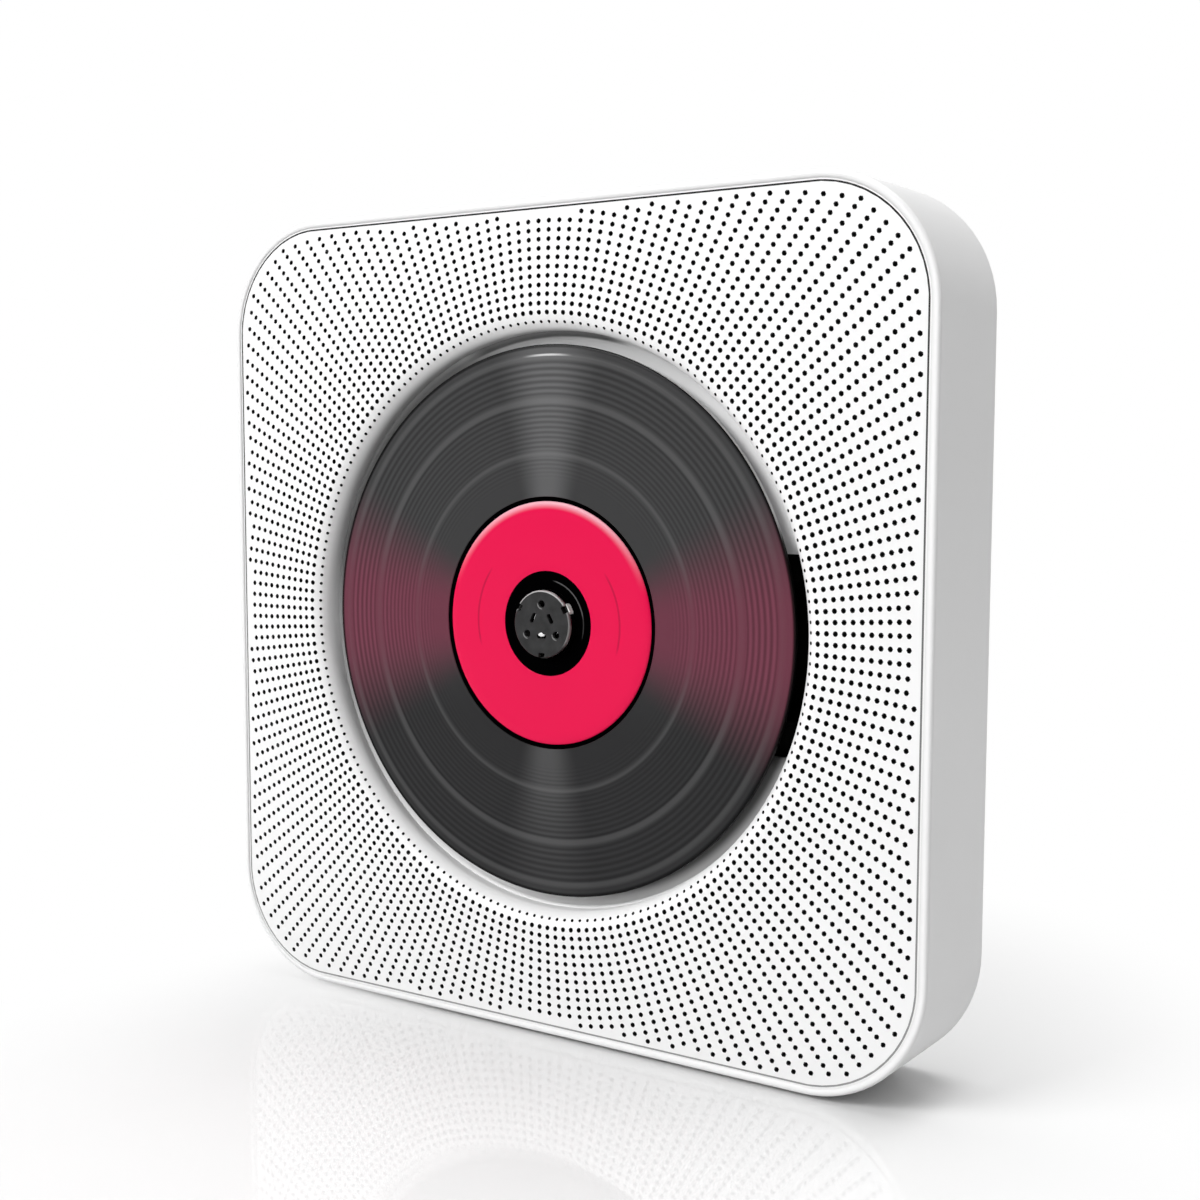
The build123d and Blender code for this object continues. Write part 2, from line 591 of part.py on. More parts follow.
# The pickup sled is a die cast block: a bored bearing on the main rod, a fork on the other rod and
# an open well in its front for the lens actuator.
SLED_FRONT = 9.4
SLED_BACK = 16.9
BEARING_FRONT = 11.9
BEARING_H = (-23.2, -16.5)
FORK_H = (10.5, 16.6)
ACTUATOR_FRONT = 6.6
ACTUATOR_HALF = (7.0, 8.0)
ACTUATOR_WELL_W = 11.0
WELL_HALF_H = 6.5

with BuildPart() as pickup_sled:
    with BuildSketch(facing(SLED_BACK)):
        with Locations((sum(SLED_X) / 2, sum(SLED_H) / 2)):
            RectangleRounded(SLED_X[1] - SLED_X[0], SLED_H[1] - SLED_H[0], 2.0)
    extrude(amount=SLED_BACK - SLED_FRONT)
    with BuildSketch(side(SLED_X[0] + 0.5)):
        with Locations(((BEARING_FRONT + SLED_BACK) / 2, (BEARING_H[0] + SLED_H[0] + 1.0) / 2)):
            Rectangle(SLED_BACK - BEARING_FRONT, SLED_H[0] + 1.0 - BEARING_H[0])
    extrude(amount=SLED_X[1] - SLED_X[0] - 1.0)
    with BuildSketch(side(SLED_X[0])):
        with Locations((ROD_DEPTH, MAIN_ROD[0])):
            Circle(MAIN_ROD[1] + RUNNING)
    extrude(amount=SLED_X[1] - SLED_X[0], mode=Mode.SUBTRACT)
    with BuildSketch(side(19.0)):
        with Locations(((BEARING_FRONT + SLED_BACK) / 2, (FORK_H[0] - 1.0 + FORK_H[1]) / 2)):
            Rectangle(SLED_BACK - BEARING_FRONT, FORK_H[1] - FORK_H[0] + 1.0)
    extrude(amount=8.0)
    with BuildSketch(side(18.0)):
        with Locations((ROD_DEPTH, 15.0)):
            Rectangle(2 * (AUX_ROD[1] + RUNNING), 4.4)
    extrude(amount=10.0, mode=Mode.SUBTRACT)
    with BuildSketch(facing(14.0)):
        with Locations((LENS_X, 0)):
            Rectangle(ACTUATOR_WELL_W, 2 * WELL_HALF_H)
    extrude(amount=14.0 - SLED_FRONT, mode=Mode.SUBTRACT)
pickup_sled.part.label = "pickup_sled"
export_step(pickup_sled.part, "parts/pickup_sled.step")

# A thin cover over the actuator, open round the lens.
with BuildPart() as actuator_cover:
    with BuildSketch(facing(SLED_FRONT)):
        with Locations((LENS_X, 0)):
            RectangleRounded(2 * ACTUATOR_HALF[0], 2 * ACTUATOR_HALF[1], 1.5)
            Rectangle(ACTUATOR_WELL_W, 2 * WELL_HALF_H, mode=Mode.SUBTRACT)
    extrude(amount=SLED_FRONT - ACTUATOR_FRONT)
    with BuildSketch(facing(ACTUATOR_FRONT + 0.6)):
        with Locations((LENS_X, 0)):
            RectangleRounded(2 * ACTUATOR_HALF[0], 2 * ACTUATOR_HALF[1], 1.5)
            Circle(4.2, mode=Mode.SUBTRACT)
    extrude(amount=0.6)
actuator_cover.part.label = "actuator_cover"
export_step(actuator_cover.part, "parts/actuator_cover.step")

# The lens sits in a holder on four fine wires, and the actuator moves it to and from the disc. The
# wires run to the wall of the well, where they end just clear of it.
LENS_R = 2.3
HOLDER_HALF_H = 5.0
with BuildPart() as lens_holder:
    with BuildSketch(facing(12.4)):
        with Locations((LENS_X, 0)):
            Rectangle(8.0, 2 * HOLDER_HALF_H)
    extrude(amount=3.8)
    with BuildSketch(facing(8.6)):
        with Locations((LENS_X, 0)):
            Circle(3.4)
    extrude(amount=8.6 - 6.0)
    with BuildSketch(facing(8.0)):
        with Locations((LENS_X, 0)):
            Circle(LENS_R)
    extrude(amount=2.0, mode=Mode.SUBTRACT)
    with BuildSketch(level(HOLDER_HALF_H)):
        with Locations(*[(LENS_X + sx * 3.0, depth) for sx in (-1, 1) for depth in (9.6, 11.4)]):
            Circle(0.2)
    extrude(amount=WELL_HALF_H - HOLDER_HALF_H - 0.1)
lens_holder.part.label = "lens_holder"
export_step(lens_holder.part, "parts/lens_holder.step")

LENS_DOME_R = (LENS_R**2 + 1.0) / 2
with BuildPart() as pickup_lens:
    with BuildSketch(level(0, LENS_X)):
        with BuildLine():
            Polyline((0, 5.9), (0, 8.0), (LENS_R, 8.0), (LENS_R, 6.9))
            CenterArc((0, 5.9 + LENS_DOME_R), LENS_DOME_R, -90, degrees(asin(LENS_R / LENS_DOME_R)))
        make_face()
    revolve(axis=front_axis(LENS_X), revolution_arc=360)
pickup_lens.part.label = "pickup_lens"
export_step(pickup_lens.part, "parts/pickup_lens.step")

# ---- sled drive ----------------------------------------------------------------------------------
# Teeth are straight-sided: half width at the pitch line, and the change per millimetre of height.
TOOTH_SHARE = 0.2         # half thickness of a tooth as a share of the pitch
FLANK = 0.36              # slope of a 20 degree flank
ADDENDUM = 0.75           # in modules
DEDENDUM = 1.05
RACK_FRONT = 12.5
RACK_BACK = 14.5


def tooth(module):
    """One tooth, pointing along local x, with the pitch line at x = 0."""
    half = TOOTH_SHARE * pi * module
    tip = ADDENDUM * module
    root = DEDENDUM * module + 0.15 * module
    Polygon((-root, -half - FLANK * root), (tip, -half + FLANK * tip), (tip, half - FLANK * tip),
            (-root, half + FLANK * root), align=None)


with BuildPart() as sled_rack:
    with BuildSketch(facing(RACK_BACK)):
        top = RACK_PITCH_H + 3.6
        root_h = RACK_PITCH_H + DEDENDUM * RACK_MODULE
        first = GEAR_X - (RACK_TEETH - 1.5) * RACK_PITCH
        last = GEAR_X + 0.5 * RACK_PITCH
        with Locations(((first + last) / 2, (top + root_h) / 2)):
            Rectangle(last - first + RACK_PITCH, top - root_h)
        with Locations(((SLED_X[0] + SLED_X[1]) / 2, (top + BEARING_H[0]) / 2)):
            Rectangle(14.0, BEARING_H[0] - top)
        for i in range(RACK_TEETH):
            with Locations(Location((first + i * RACK_PITCH, RACK_PITCH_H, 0), (0, 0, -90))):
                tooth(RACK_MODULE)
    extrude(amount=RACK_BACK - RACK_FRONT)
sled_rack.part.label = "sled_rack"
export_step(sled_rack.part, "parts/sled_rack.step")

# The drive gear is one moulding: a small pinion in mesh with the rack and a wheel in mesh with the
# motor. It turns on a post of the chassis.
with BuildPart() as drive_gear:
    with BuildSketch(facing(15.0)):
        with Locations((GEAR_X, GEAR_H)):
            Circle(SMALL_R - DEDENDUM * RACK_MODULE)
            with PolarLocations(SMALL_R, SMALL_TEETH, start_angle=90):
                tooth(RACK_MODULE)
    extrude(amount=15.0 - 12.4)
    with BuildSketch(facing(WHEEL_BACK)):
        with Locations((GEAR_X, GEAR_H)):
            Circle(WHEEL_R - DEDENDUM * WHEEL_MODULE)
            with PolarLocations(WHEEL_R, WHEEL_TEETH, start_angle=MOTOR_BEARING):
                tooth(WHEEL_MODULE)
    extrude(amount=WHEEL_BACK - 15.0)
    with BuildSketch(facing(WHEEL_BACK)):
        with Locations((GEAR_X, GEAR_H)):
            Circle(GEAR_POST_R + RUNNING)
    extrude(amount=WHEEL_BACK - 12.4, mode=Mode.SUBTRACT)
drive_gear.part.label = "drive_gear"
export_step(drive_gear.part, "parts/drive_gear.step")

MOTOR_FRONT = 18.2
BRACKET_W = 7.0
with BuildPart() as motor_pinion:
    with BuildSketch(facing(17.0)):
        with Locations((PINION_X, PINION_H)):
            Circle(PINION_R - DEDENDUM * WHEEL_MODULE)
            with PolarLocations(PINION_R, PINION_TEETH, start_angle=MOTOR_BEARING + 180 + 180 / PINION_TEETH):
                tooth(WHEEL_MODULE)
            Circle(0.75, mode=Mode.SUBTRACT)
    extrude(amount=2.2)
motor_pinion.part.label = "motor_pinion"
export_step(motor_pinion.part, "parts/motor_pinion.step")

with BuildPart() as sled_motor_shaft:
    with BuildSketch(facing(26.8)):
        with Locations((PINION_X, PINION_H)):
            Circle(0.75)
    extrude(amount=26.8 - 14.8)
sled_motor_shaft.part.label = "sled_motor_shaft"
export_step(sled_motor_shaft.part, "parts/sled_motor_shaft.step")

with BuildPart() as sled_motor_bracket:
    with BuildSketch(facing(MOTOR_FRONT)):
        with Locations((PINION_X, PINION_H)):
            Circle(10.0)
        (x1, h1), (x2, h2) = BRACKET_POSTS
        with Locations(((x1 + x2) / 2, (h1 + h2) / 2)):
            SlotCenterToCenter(sqrt((x2 - x1)**2 + (h2 - h1)**2), BRACKET_W,
                               rotation=degrees(atan2(h2 - h1, x2 - x1)))
        with Locations((PINION_X, PINION_H)):
            Circle(2.8, mode=Mode.SUBTRACT)
        with Locations(*BRACKET_POSTS):
            Circle(1.1, mode=Mode.SUBTRACT)
    extrude(amount=MOTOR_FRONT - BRACKET_FRONT)
sled_motor_bracket.part.label = "sled_motor_bracket"
export_step(sled_motor_bracket.part, "parts/sled_motor_bracket.step")

with BuildPart() as sled_motor:
    with BuildSketch(level(PINION_H, PINION_X)):
        with BuildLine():
            Polyline((0.75 + RUNNING, 17.6), (2.5, 17.6), (2.5, MOTOR_FRONT), (9.5, MOTOR_FRONT),
                     (10.0, MOTOR_FRONT + 0.5), (10.0, 25.6), (9.2, 26.4), (0.75 + RUNNING, 26.4), close=True)
        make_face()
    revolve(axis=front_axis(PINION_X, PINION_H), revolution_arc=360)
sled_motor.part.label = "sled_motor"
export_step(sled_motor.part, "parts/sled_motor.step")

# ================================================================================================
# Electronics
# ================================================================================================

# The main board stands on the rear cover's posts, with its sockets at the left edge.
with BuildPart() as main_board:
    with BuildSketch(facing(BOARD_BACK)):
        with Locations(((BOARD_X[0] + BOARD_X[1]) / 2, 0)):
            RectangleRounded(BOARD_X[1] - BOARD_X[0], 2 * BOARD_HALF_H, 1.0)
        with Locations(*BOARD_POSTS):
            Circle(1.2, mode=Mode.SUBTRACT)
    extrude(amount=BOARD_T)
main_board.part.label = "main_board"
export_step(main_board.part, "parts/main_board.step")

# Chips, and standing capacitors, on the board's front.
CHIPS = [(-56, 4, 12, 12), (-48, -14, 9, 6), (-60, -14, 5, 5), (-46, 16, 6, 9)]
CAPS = [(-64, 18), (-57, 18), (-66, -6), (-44, -1)]
with BuildPart() as board_parts:
    for x, h, w, t in CHIPS:
        with BuildSketch(facing(BOARD_FRONT)):
            with Locations((x, h)):
                Rectangle(w, t)
        extrude(amount=1.4)
    with BuildSketch(facing(BOARD_FRONT)):
        with Locations(*CAPS):
            Circle(2.5)
    extrude(amount=7.0)
board_parts.part.label = "board_parts"
export_step(board_parts.part, "parts/board_parts.step")

# The socket plate fills the window in the left wall. A flange behind the wall holds it in.
PLATE_OUT_X = -HALF + 0.9
SOCKET_OUT_X = PLATE_OUT_X - 0.1
FLANGE_T = 1.0
SOCKET_IN_X = -INNER + FLANGE_T + 0.2
IO_MID = (IO_DEPTHS[0] + IO_DEPTHS[1]) / 2
USB_SIZE = (7.0, 14.4)
POWER_SIZE = (3.4, 9.2)
JACK_BARREL_R = 3.0
JACK_MID = BOARD_FRONT - 3.2
USB_MID = BOARD_FRONT - USB_SIZE[0] / 2
POWER_MID = BOARD_FRONT - POWER_SIZE[0] / 2
KNOB_MID = BOARD_FRONT - 2.4
KNOB_TRAVEL = 3.0

with BuildPart() as io_plate:
    with BuildSketch(side(PLATE_OUT_X)):
        with Locations((IO_MID, 0)):
            RectangleRounded(IO_DEPTHS[1] - IO_DEPTHS[0] - 0.3, 2 * IO_HALF_H - 0.3, 1.35)
    extrude(amount=-INNER - PLATE_OUT_X)
    with BuildSketch(side(-INNER)):
        with Locations((IO_MID, 0)):
            RectangleRounded(IO_DEPTHS[1] - IO_DEPTHS[0] + 3.0, 2 * IO_HALF_H + 3.0, 2.0)
    extrude(amount=FLANGE_T)
    with BuildSketch(side(PLATE_OUT_X)):
        with Locations((USB_MID, USB_H)):
            Rectangle(USB_SIZE[0] + 0.4, USB_SIZE[1] + 0.4)
        with Locations((POWER_MID, POWER_H)):
            SlotOverall(POWER_SIZE[1] + 0.4, POWER_SIZE[0] + 0.4, rotation=90)
        with Locations((JACK_MID, AUX_H), (JACK_MID, PHONES_H)):
            Circle(JACK_BARREL_R + 0.15)
        with Locations((KNOB_MID, SWITCH_H)):
            Rectangle(3.2, 8.4)
    extrude(amount=-INNER + FLANGE_T - PLATE_OUT_X, mode=Mode.SUBTRACT)
io_plate.part.label = "io_plate"
export_step(io_plate.part, "parts/io_plate.step")

with BuildPart() as usb_socket:
    with BuildSketch(side(SOCKET_OUT_X)):
        with Locations((USB_MID, USB_H)):
            Rectangle(*USB_SIZE)
    extrude(amount=14.0)
    with BuildSketch(side(SOCKET_OUT_X)):
        with Locations((USB_MID, USB_H)):
            Rectangle(USB_SIZE[0] - 1.8, USB_SIZE[1] - 1.8)
        with Locations((USB_MID + 0.8, USB_H)):
            Rectangle(1.9, 11.2, mode=Mode.SUBTRACT)
    extrude(amount=9.0, mode=Mode.SUBTRACT)
usb_socket.part.label = "usb_socket"
export_step(usb_socket.part, "parts/usb_socket.step")

with BuildPart() as power_socket:
    with BuildSketch(side(SOCKET_OUT_X)):
        with Locations((POWER_MID, POWER_H)):
            SlotOverall(POWER_SIZE[1], POWER_SIZE[0], rotation=90)
    extrude(amount=7.6)
    with BuildSketch(side(SOCKET_OUT_X)):
        with Locations((POWER_MID, POWER_H)):
            SlotOverall(POWER_SIZE[1] - 0.8, POWER_SIZE[0] - 0.8, rotation=90)
            Rectangle(0.7, 6.6, mode=Mode.SUBTRACT)
    extrude(amount=6.2, mode=Mode.SUBTRACT)
power_socket.part.label = "power_socket"
export_step(power_socket.part, "parts/power_socket.step")

for name, h in (("aux_jack", AUX_H), ("headphone_jack", PHONES_H)):
    with BuildPart() as jack:
        with BuildSketch(side(SOCKET_OUT_X)):
            with Locations((JACK_MID, h)):
                Circle(JACK_BARREL_R)
        extrude(amount=SOCKET_IN_X - SOCKET_OUT_X)
        with BuildSketch(side(SOCKET_IN_X)):
            with Locations((JACK_MID, h)):
                Rectangle(6.4, 7.0)
        extrude(amount=11.6)
        with BuildSketch(side(SOCKET_OUT_X)):
            with Locations((JACK_MID, h)):
                Circle(JACK_BORE_R)
        extrude(amount=13.2, mode=Mode.SUBTRACT)
    jack.part.label = name
    export_step(jack.part, "parts/" + name + ".step")

# The slide switch and its knob, which reaches out through the socket plate.
with BuildPart() as power_switch:
    with BuildSketch(side(SOCKET_IN_X)):
        with Locations((KNOB_MID, SWITCH_H)):
            Rectangle(4.8, 10.4)
    extrude(amount=4.6)
    with BuildSketch(side(SOCKET_IN_X)):
        with Locations((KNOB_MID, SWITCH_H)):
            Rectangle(2.2, 8.0)
    extrude(amount=1.6, mode=Mode.SUBTRACT)
power_switch.part.label = "power_switch"
export_step(power_switch.part, "parts/power_switch.step")

with BuildPart() as power_knob:
    with BuildSketch(side(SOCKET_OUT_X - 0.7)):
        with Locations((KNOB_MID, SWITCH_H - KNOB_TRAVEL / 2)):
            RectangleRounded(2.0, 4.4, 0.4)
    extrude(amount=SOCKET_IN_X + 1.4 - SOCKET_OUT_X + 0.7)
power_knob.part.label = "power_knob"
export_step(power_knob.part, "parts/power_knob.step")

# The key board hangs from two posts under the top wall.
KEY_BOARD_T = 1.6
with BuildPart() as key_board:
    with BuildSketch(level(KEY_BOARD_TOP - KEY_BOARD_T)):
        with Locations((0, KEY_DEPTH)):
            RectangleRounded(100.0, 10.0, 1.0)
        with Locations((-POST_X, KEY_DEPTH), (POST_X, KEY_DEPTH)):
            Circle(1.2, mode=Mode.SUBTRACT)
    extrude(amount=KEY_BOARD_T)
key_board.part.label = "key_board"
export_step(key_board.part, "parts/key_board.step")

SWITCH_TOP = 84.0
STEM_TOP = 84.6
with BuildPart() as tact_switches:
    with BuildSketch(level(KEY_BOARD_TOP)):
        for x in KEY_XS:
            with Locations((x, KEY_DEPTH)):
                Rectangle(6.0, 6.0)
    extrude(amount=SWITCH_TOP - KEY_BOARD_TOP)
    with BuildSketch(level(SWITCH_TOP)):
        for x in KEY_XS:
            with Locations((x, KEY_DEPTH)):
                Circle(1.7)
    extrude(amount=STEM_TOP - SWITCH_TOP)
tact_switches.part.label = "tact_switches"
export_step(tact_switches.part, "parts/tact_switches.step")

# Five keys, each a rounded cap with a collar under the wall and a short plunger.
COLLAR_TOP = INNER - 0.3
for name, x in zip(KEY_NAMES, KEY_XS):
    with BuildPart() as key:
        with BuildSketch(level(STEM_TOP + KEY_TRAVEL)):
            with Locations((x, KEY_DEPTH)):
                Circle(1.5)
        extrude(amount=COLLAR_TOP - 1.0 - STEM_TOP - KEY_TRAVEL)
        with BuildSketch(level(COLLAR_TOP - 1.0)):
            with Locations((x, KEY_DEPTH)):
                RectangleRounded(KEY_W + 2.0, KEY_L + 2.0, 1.6)
        extrude(amount=1.0)
        with BuildSketch(level(COLLAR_TOP)):
            with Locations((x, KEY_DEPTH)):
                RectangleRounded(KEY_W, KEY_L, 1.0)
        extrude(amount=HALF + KEY_PROUD - COLLAR_TOP)
        fillet(key.faces().sort_by(Axis.Z)[-1].edges(), 0.4)
    key.part.label = name
    export_step(key.part, "parts/" + name + ".step")

# ================================================================================================
# Speakers
# ================================================================================================

# One small full-range driver in each lower corner: a pressed frame, a paper cone with a rolled edge
# and a magnet.
for suffix, s in (("left", -1), ("right", 1)):
    plane = level(-SPEAKER_X, s * SPEAKER_X)
    axis = front_axis(s * SPEAKER_X, -SPEAKER_X)
    with BuildPart() as speaker_frame:
        with BuildSketch(plane):
            with BuildLine():
                Polyline((15.0, SEAT_DEPTH), (SPEAKER_R, SEAT_DEPTH), (SPEAKER_R, SEAT_DEPTH + EAR_T),
                         (16.0, SEAT_DEPTH + EAR_T), (11.8, 10.6), (5.6, 10.6), (5.6, 9.8), (11.2, 9.8),
                         (15.0, SEAT_DEPTH + EAR_T), close=True)
            make_face()
        revolve(axis=axis, revolution_arc=360)
        with BuildSketch(facing(SEAT_DEPTH + EAR_T)):
            for x, h in EARS:
                if x * s > 0:
                    with Locations((x, h)):
                        Circle(2.6)
                        Circle(EAR_PILOT_R, mode=Mode.SUBTRACT)
        extrude(amount=EAR_T)
    speaker_frame.part.label = "speaker_frame_" + suffix
    export_step(speaker_frame.part, "parts/speaker_frame_" + suffix + ".step")

    with BuildPart() as speaker_cone:
        with BuildSketch(plane):
            with BuildLine():
                Polyline((0, 7.6), (5.0, 8.8), (12.4, 5.0), (14.4, SEAT_DEPTH - 0.4),
                         (15.4, SEAT_DEPTH - 0.4), (15.4, SEAT_DEPTH), (14.6, SEAT_DEPTH), (12.6, 5.4),
                         (5.2, 9.3), (0, 8.1), close=True)
            make_face()
        revolve(axis=axis, revolution_arc=360)
    speaker_cone.part.label = "speaker_cone_" + suffix
    export_step(speaker_cone.part, "parts/speaker_cone_" + suffix + ".step")

    with BuildPart() as speaker_magnet:
        with BuildSketch(plane):
            with BuildLine():
                Polyline((0, 10.6), (11.0, 10.6), (11.0, 16.0), (10.2, 16.8), (0, 16.8), close=True)
            make_face()
        revolve(axis=axis, revolution_arc=360)
    speaker_magnet.part.label = "speaker_magnet_" + suffix
    export_step(speaker_magnet.part, "parts/speaker_magnet_" + suffix + ".step")

# ================================================================================================
# Fasteners: identical screws share one node
# ================================================================================================


# Each set has a name and its groups: plane under the heads, places, side of the plane that the heads
# stand on, head radius and height, shank radius and length. A plane's normal runs to the front, or up.
KEY_BOARD_ENDS = [(-POST_X, KEY_DEPTH), (POST_X, KEY_DEPTH)]
KEY_BOARD_UNDER = KEY_BOARD_TOP - KEY_BOARD_T
SCREWS = {
    "cover_screws": [(facing(COVER_BACK - 0.4), CORNERS, -1, 2.9, 0.4, 1.2, 10.0)],
    "deck_screws": [(facing(DECK_BACK), DECK_BOSSES, -1, 2.6, 1.3, 1.05, 5.2)],
    "damper_screws": [(facing(POST_END), DAMPERS, -1, 3.4, 1.2, DAMPER_PILOT_R - 0.05, 3.8)],
    "speaker_screws": [(facing(SEAT_DEPTH + EAR_T), EARS, -1, 2.2, 1.2, EAR_PILOT_R - 0.05, 2.7)],
    "small_screws": [
        (facing(BOARD_FRONT), BOARD_POSTS, 1, 2.0, 1.2, 0.95, 5.0),
        (facing(MOTOR_FRONT), BRACKET_POSTS, -1, 2.0, 1.2, 0.95, 5.0),
        (level(KEY_BOARD_UNDER), KEY_BOARD_ENDS, -1, 2.0, 1.2, 0.95, 5.0),
        (facing(CHASSIS_FRONT), MOTOR_SCREWS, 1, 2.0, 1.2, 0.95, CHASSIS_T),
    ],
}
for name, groups in SCREWS.items():
    with BuildPart() as screw_set:
        for plane, places, heads, head_r, head_t, shank_r, shank_l in groups:
            with BuildSketch(plane):
                with Locations(*places):
                    Circle(head_r)
            extrude(amount=heads * head_t)
            with BuildSketch(plane):
                with Locations(*places):
                    Circle(shank_r)
            extrude(amount=-heads * shank_l)
    screw_set.part.label = name
    export_step(screw_set.part, "parts/" + name + ".step")
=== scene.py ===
import json
from math import atan2, cos, exp, hypot, log, pi, radians, sin, sqrt, tau

import bmesh
import bpy
from mathutils import Matrix, Vector

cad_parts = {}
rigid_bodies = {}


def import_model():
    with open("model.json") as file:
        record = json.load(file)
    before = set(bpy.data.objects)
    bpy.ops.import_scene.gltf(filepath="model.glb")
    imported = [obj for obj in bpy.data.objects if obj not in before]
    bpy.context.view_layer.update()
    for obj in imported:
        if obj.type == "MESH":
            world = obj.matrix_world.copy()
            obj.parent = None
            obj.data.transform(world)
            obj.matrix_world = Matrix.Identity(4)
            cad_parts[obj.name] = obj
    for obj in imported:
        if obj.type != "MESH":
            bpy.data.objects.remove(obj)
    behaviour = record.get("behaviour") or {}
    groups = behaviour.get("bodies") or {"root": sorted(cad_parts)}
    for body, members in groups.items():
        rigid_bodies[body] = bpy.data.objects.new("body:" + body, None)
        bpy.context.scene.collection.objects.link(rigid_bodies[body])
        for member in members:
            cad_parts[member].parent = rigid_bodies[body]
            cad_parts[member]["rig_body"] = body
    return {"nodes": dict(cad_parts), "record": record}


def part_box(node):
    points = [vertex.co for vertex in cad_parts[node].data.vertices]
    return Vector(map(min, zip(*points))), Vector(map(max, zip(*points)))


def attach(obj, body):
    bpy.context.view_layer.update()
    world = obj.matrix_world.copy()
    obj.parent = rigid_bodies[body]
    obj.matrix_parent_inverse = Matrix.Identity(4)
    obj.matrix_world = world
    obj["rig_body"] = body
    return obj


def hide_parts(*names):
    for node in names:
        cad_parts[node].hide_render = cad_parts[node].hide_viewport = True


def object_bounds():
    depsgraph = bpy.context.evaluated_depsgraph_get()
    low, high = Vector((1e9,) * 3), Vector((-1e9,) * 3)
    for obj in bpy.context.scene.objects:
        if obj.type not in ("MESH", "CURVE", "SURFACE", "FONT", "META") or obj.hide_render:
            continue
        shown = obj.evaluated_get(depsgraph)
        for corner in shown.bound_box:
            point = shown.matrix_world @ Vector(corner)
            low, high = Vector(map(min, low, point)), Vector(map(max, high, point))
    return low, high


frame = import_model()
cad_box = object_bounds()

# ---- Camera, light and floor ----------------------------------------------------------------------
# A long lens stands to the right of the player and a little above its middle. One large softbox
# shines from the upper left, a weaker one from above, and a pale glossy table carries the player.
MM = 0.001
FRONT_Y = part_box("front_panel")[0].y
disc_low, disc_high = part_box("cd_disc")
AXIS = Vector(((disc_low.x + disc_high.x) / 2, FRONT_Y, (disc_low.z + disc_high.z) / 2))
CAMERA_LENS = 51.37
CAMERA_SENSOR = 36.0
CAMERA_SHIFT = (0.0201, 0.0154)
CAMERA_FROM_AXIS = Vector((215.3, -297.5, 36.6)) * MM
CAMERA_TURN = (radians(84.516), radians(-0.045), radians(34.659))

camera_data = bpy.data.cameras.new("camera")
camera_data.lens = CAMERA_LENS
camera_data.sensor_width = CAMERA_SENSOR
camera_data.shift_x, camera_data.shift_y = CAMERA_SHIFT
camera = bpy.data.objects.new("camera", camera_data)
bpy.context.scene.collection.objects.link(camera)
camera.location = AXIS + CAMERA_FROM_AXIS
camera.rotation_euler = CAMERA_TURN
bpy.context.scene.camera = camera

KEY_FROM_AXIS = Vector((-0.97, -1.76, 1.32))
KEY_SIZE = 1.2
KEY_POWER = 50.0
TOP_FROM_AXIS = Vector((0.18, 0.2, 1.58))
TOP_SIZE = 1.0
TOP_POWER = 18.5


def softbox(name, from_axis, size, power):
    """A square area lamp at a place measured from the disc's axis, turned to face the disc."""
    data = bpy.data.lights.new(name, "AREA")
    data.shape = "SQUARE"
    data.size = size
    data.energy = power
    lamp = bpy.data.objects.new(name, data)
    bpy.context.scene.collection.objects.link(lamp)
    place = AXIS + from_axis
    lamp.location = place
    lamp.rotation_euler = (AXIS - place).to_track_quat("-Z", "Y").to_euler()
    return lamp


softbox("key_softbox", KEY_FROM_AXIS, KEY_SIZE, KEY_POWER)
top_softbox = softbox("top_softbox", TOP_FROM_AXIS, TOP_SIZE, TOP_POWER)
top_softbox.visible_glossy = False


def join(tree, *links):
    """Link outputs to inputs, given in pairs."""
    for output, socket in links:
        tree.links.new(output, socket)


def smooth_range(tree, value, low, high, start, end):
    """A value eased from start to end while the input goes from low to high."""
    node = tree.nodes.new("ShaderNodeMapRange")
    node.interpolation_type = "SMOOTHSTEP"
    for socket, number in zip(("From Min", "From Max", "To Min", "To Max"), (low, high, start, end)):
        node.inputs[socket].default_value = number
    tree.links.new(value, node.inputs["Value"])
    return node.outputs["Result"]


# The studio is brighter behind the player than in front of it, and the camera sees it white.
STUDIO_LEVEL = 0.14
BACKDROP_LEVEL = 0.56
BACKDROP_FULL = 0.5
world = bpy.data.worlds.new("studio")
bpy.context.scene.world = world
world.use_nodes = True
sky = world.node_tree
sky.nodes.clear()
sky_out = sky.nodes.new("ShaderNodeOutputWorld")
sky_mix = sky.nodes.new("ShaderNodeMixShader")
sky_light = sky.nodes.new("ShaderNodeBackground")
sky_seen = sky.nodes.new("ShaderNodeBackground")
sky_seen.inputs["Strength"].default_value = 1.0
for background in (sky_light, sky_seen):
    background.inputs["Color"].default_value = (1.0, 1.0, 1.0, 1.0)
sky_path = sky.nodes.new("ShaderNodeLightPath")
sky_way = sky.nodes.new("ShaderNodeTexCoord")
sky_apart = sky.nodes.new("ShaderNodeSeparateXYZ")
sky_level = smooth_range(sky, sky_apart.outputs["Y"], 0.0, BACKDROP_FULL, STUDIO_LEVEL, BACKDROP_LEVEL)
join(sky,
     (sky_way.outputs["Generated"], sky_apart.inputs[0]),
     (sky_level, sky_light.inputs["Strength"]),
     (sky_path.outputs["Is Camera Ray"], sky_mix.inputs["Fac"]),
     (sky_light.outputs[0], sky_mix.inputs[1]),
     (sky_seen.outputs[0], sky_mix.inputs[2]),
     (sky_mix.outputs[0], sky_out.inputs["Surface"]))
bpy.context.scene.view_settings.view_transform = "Standard"

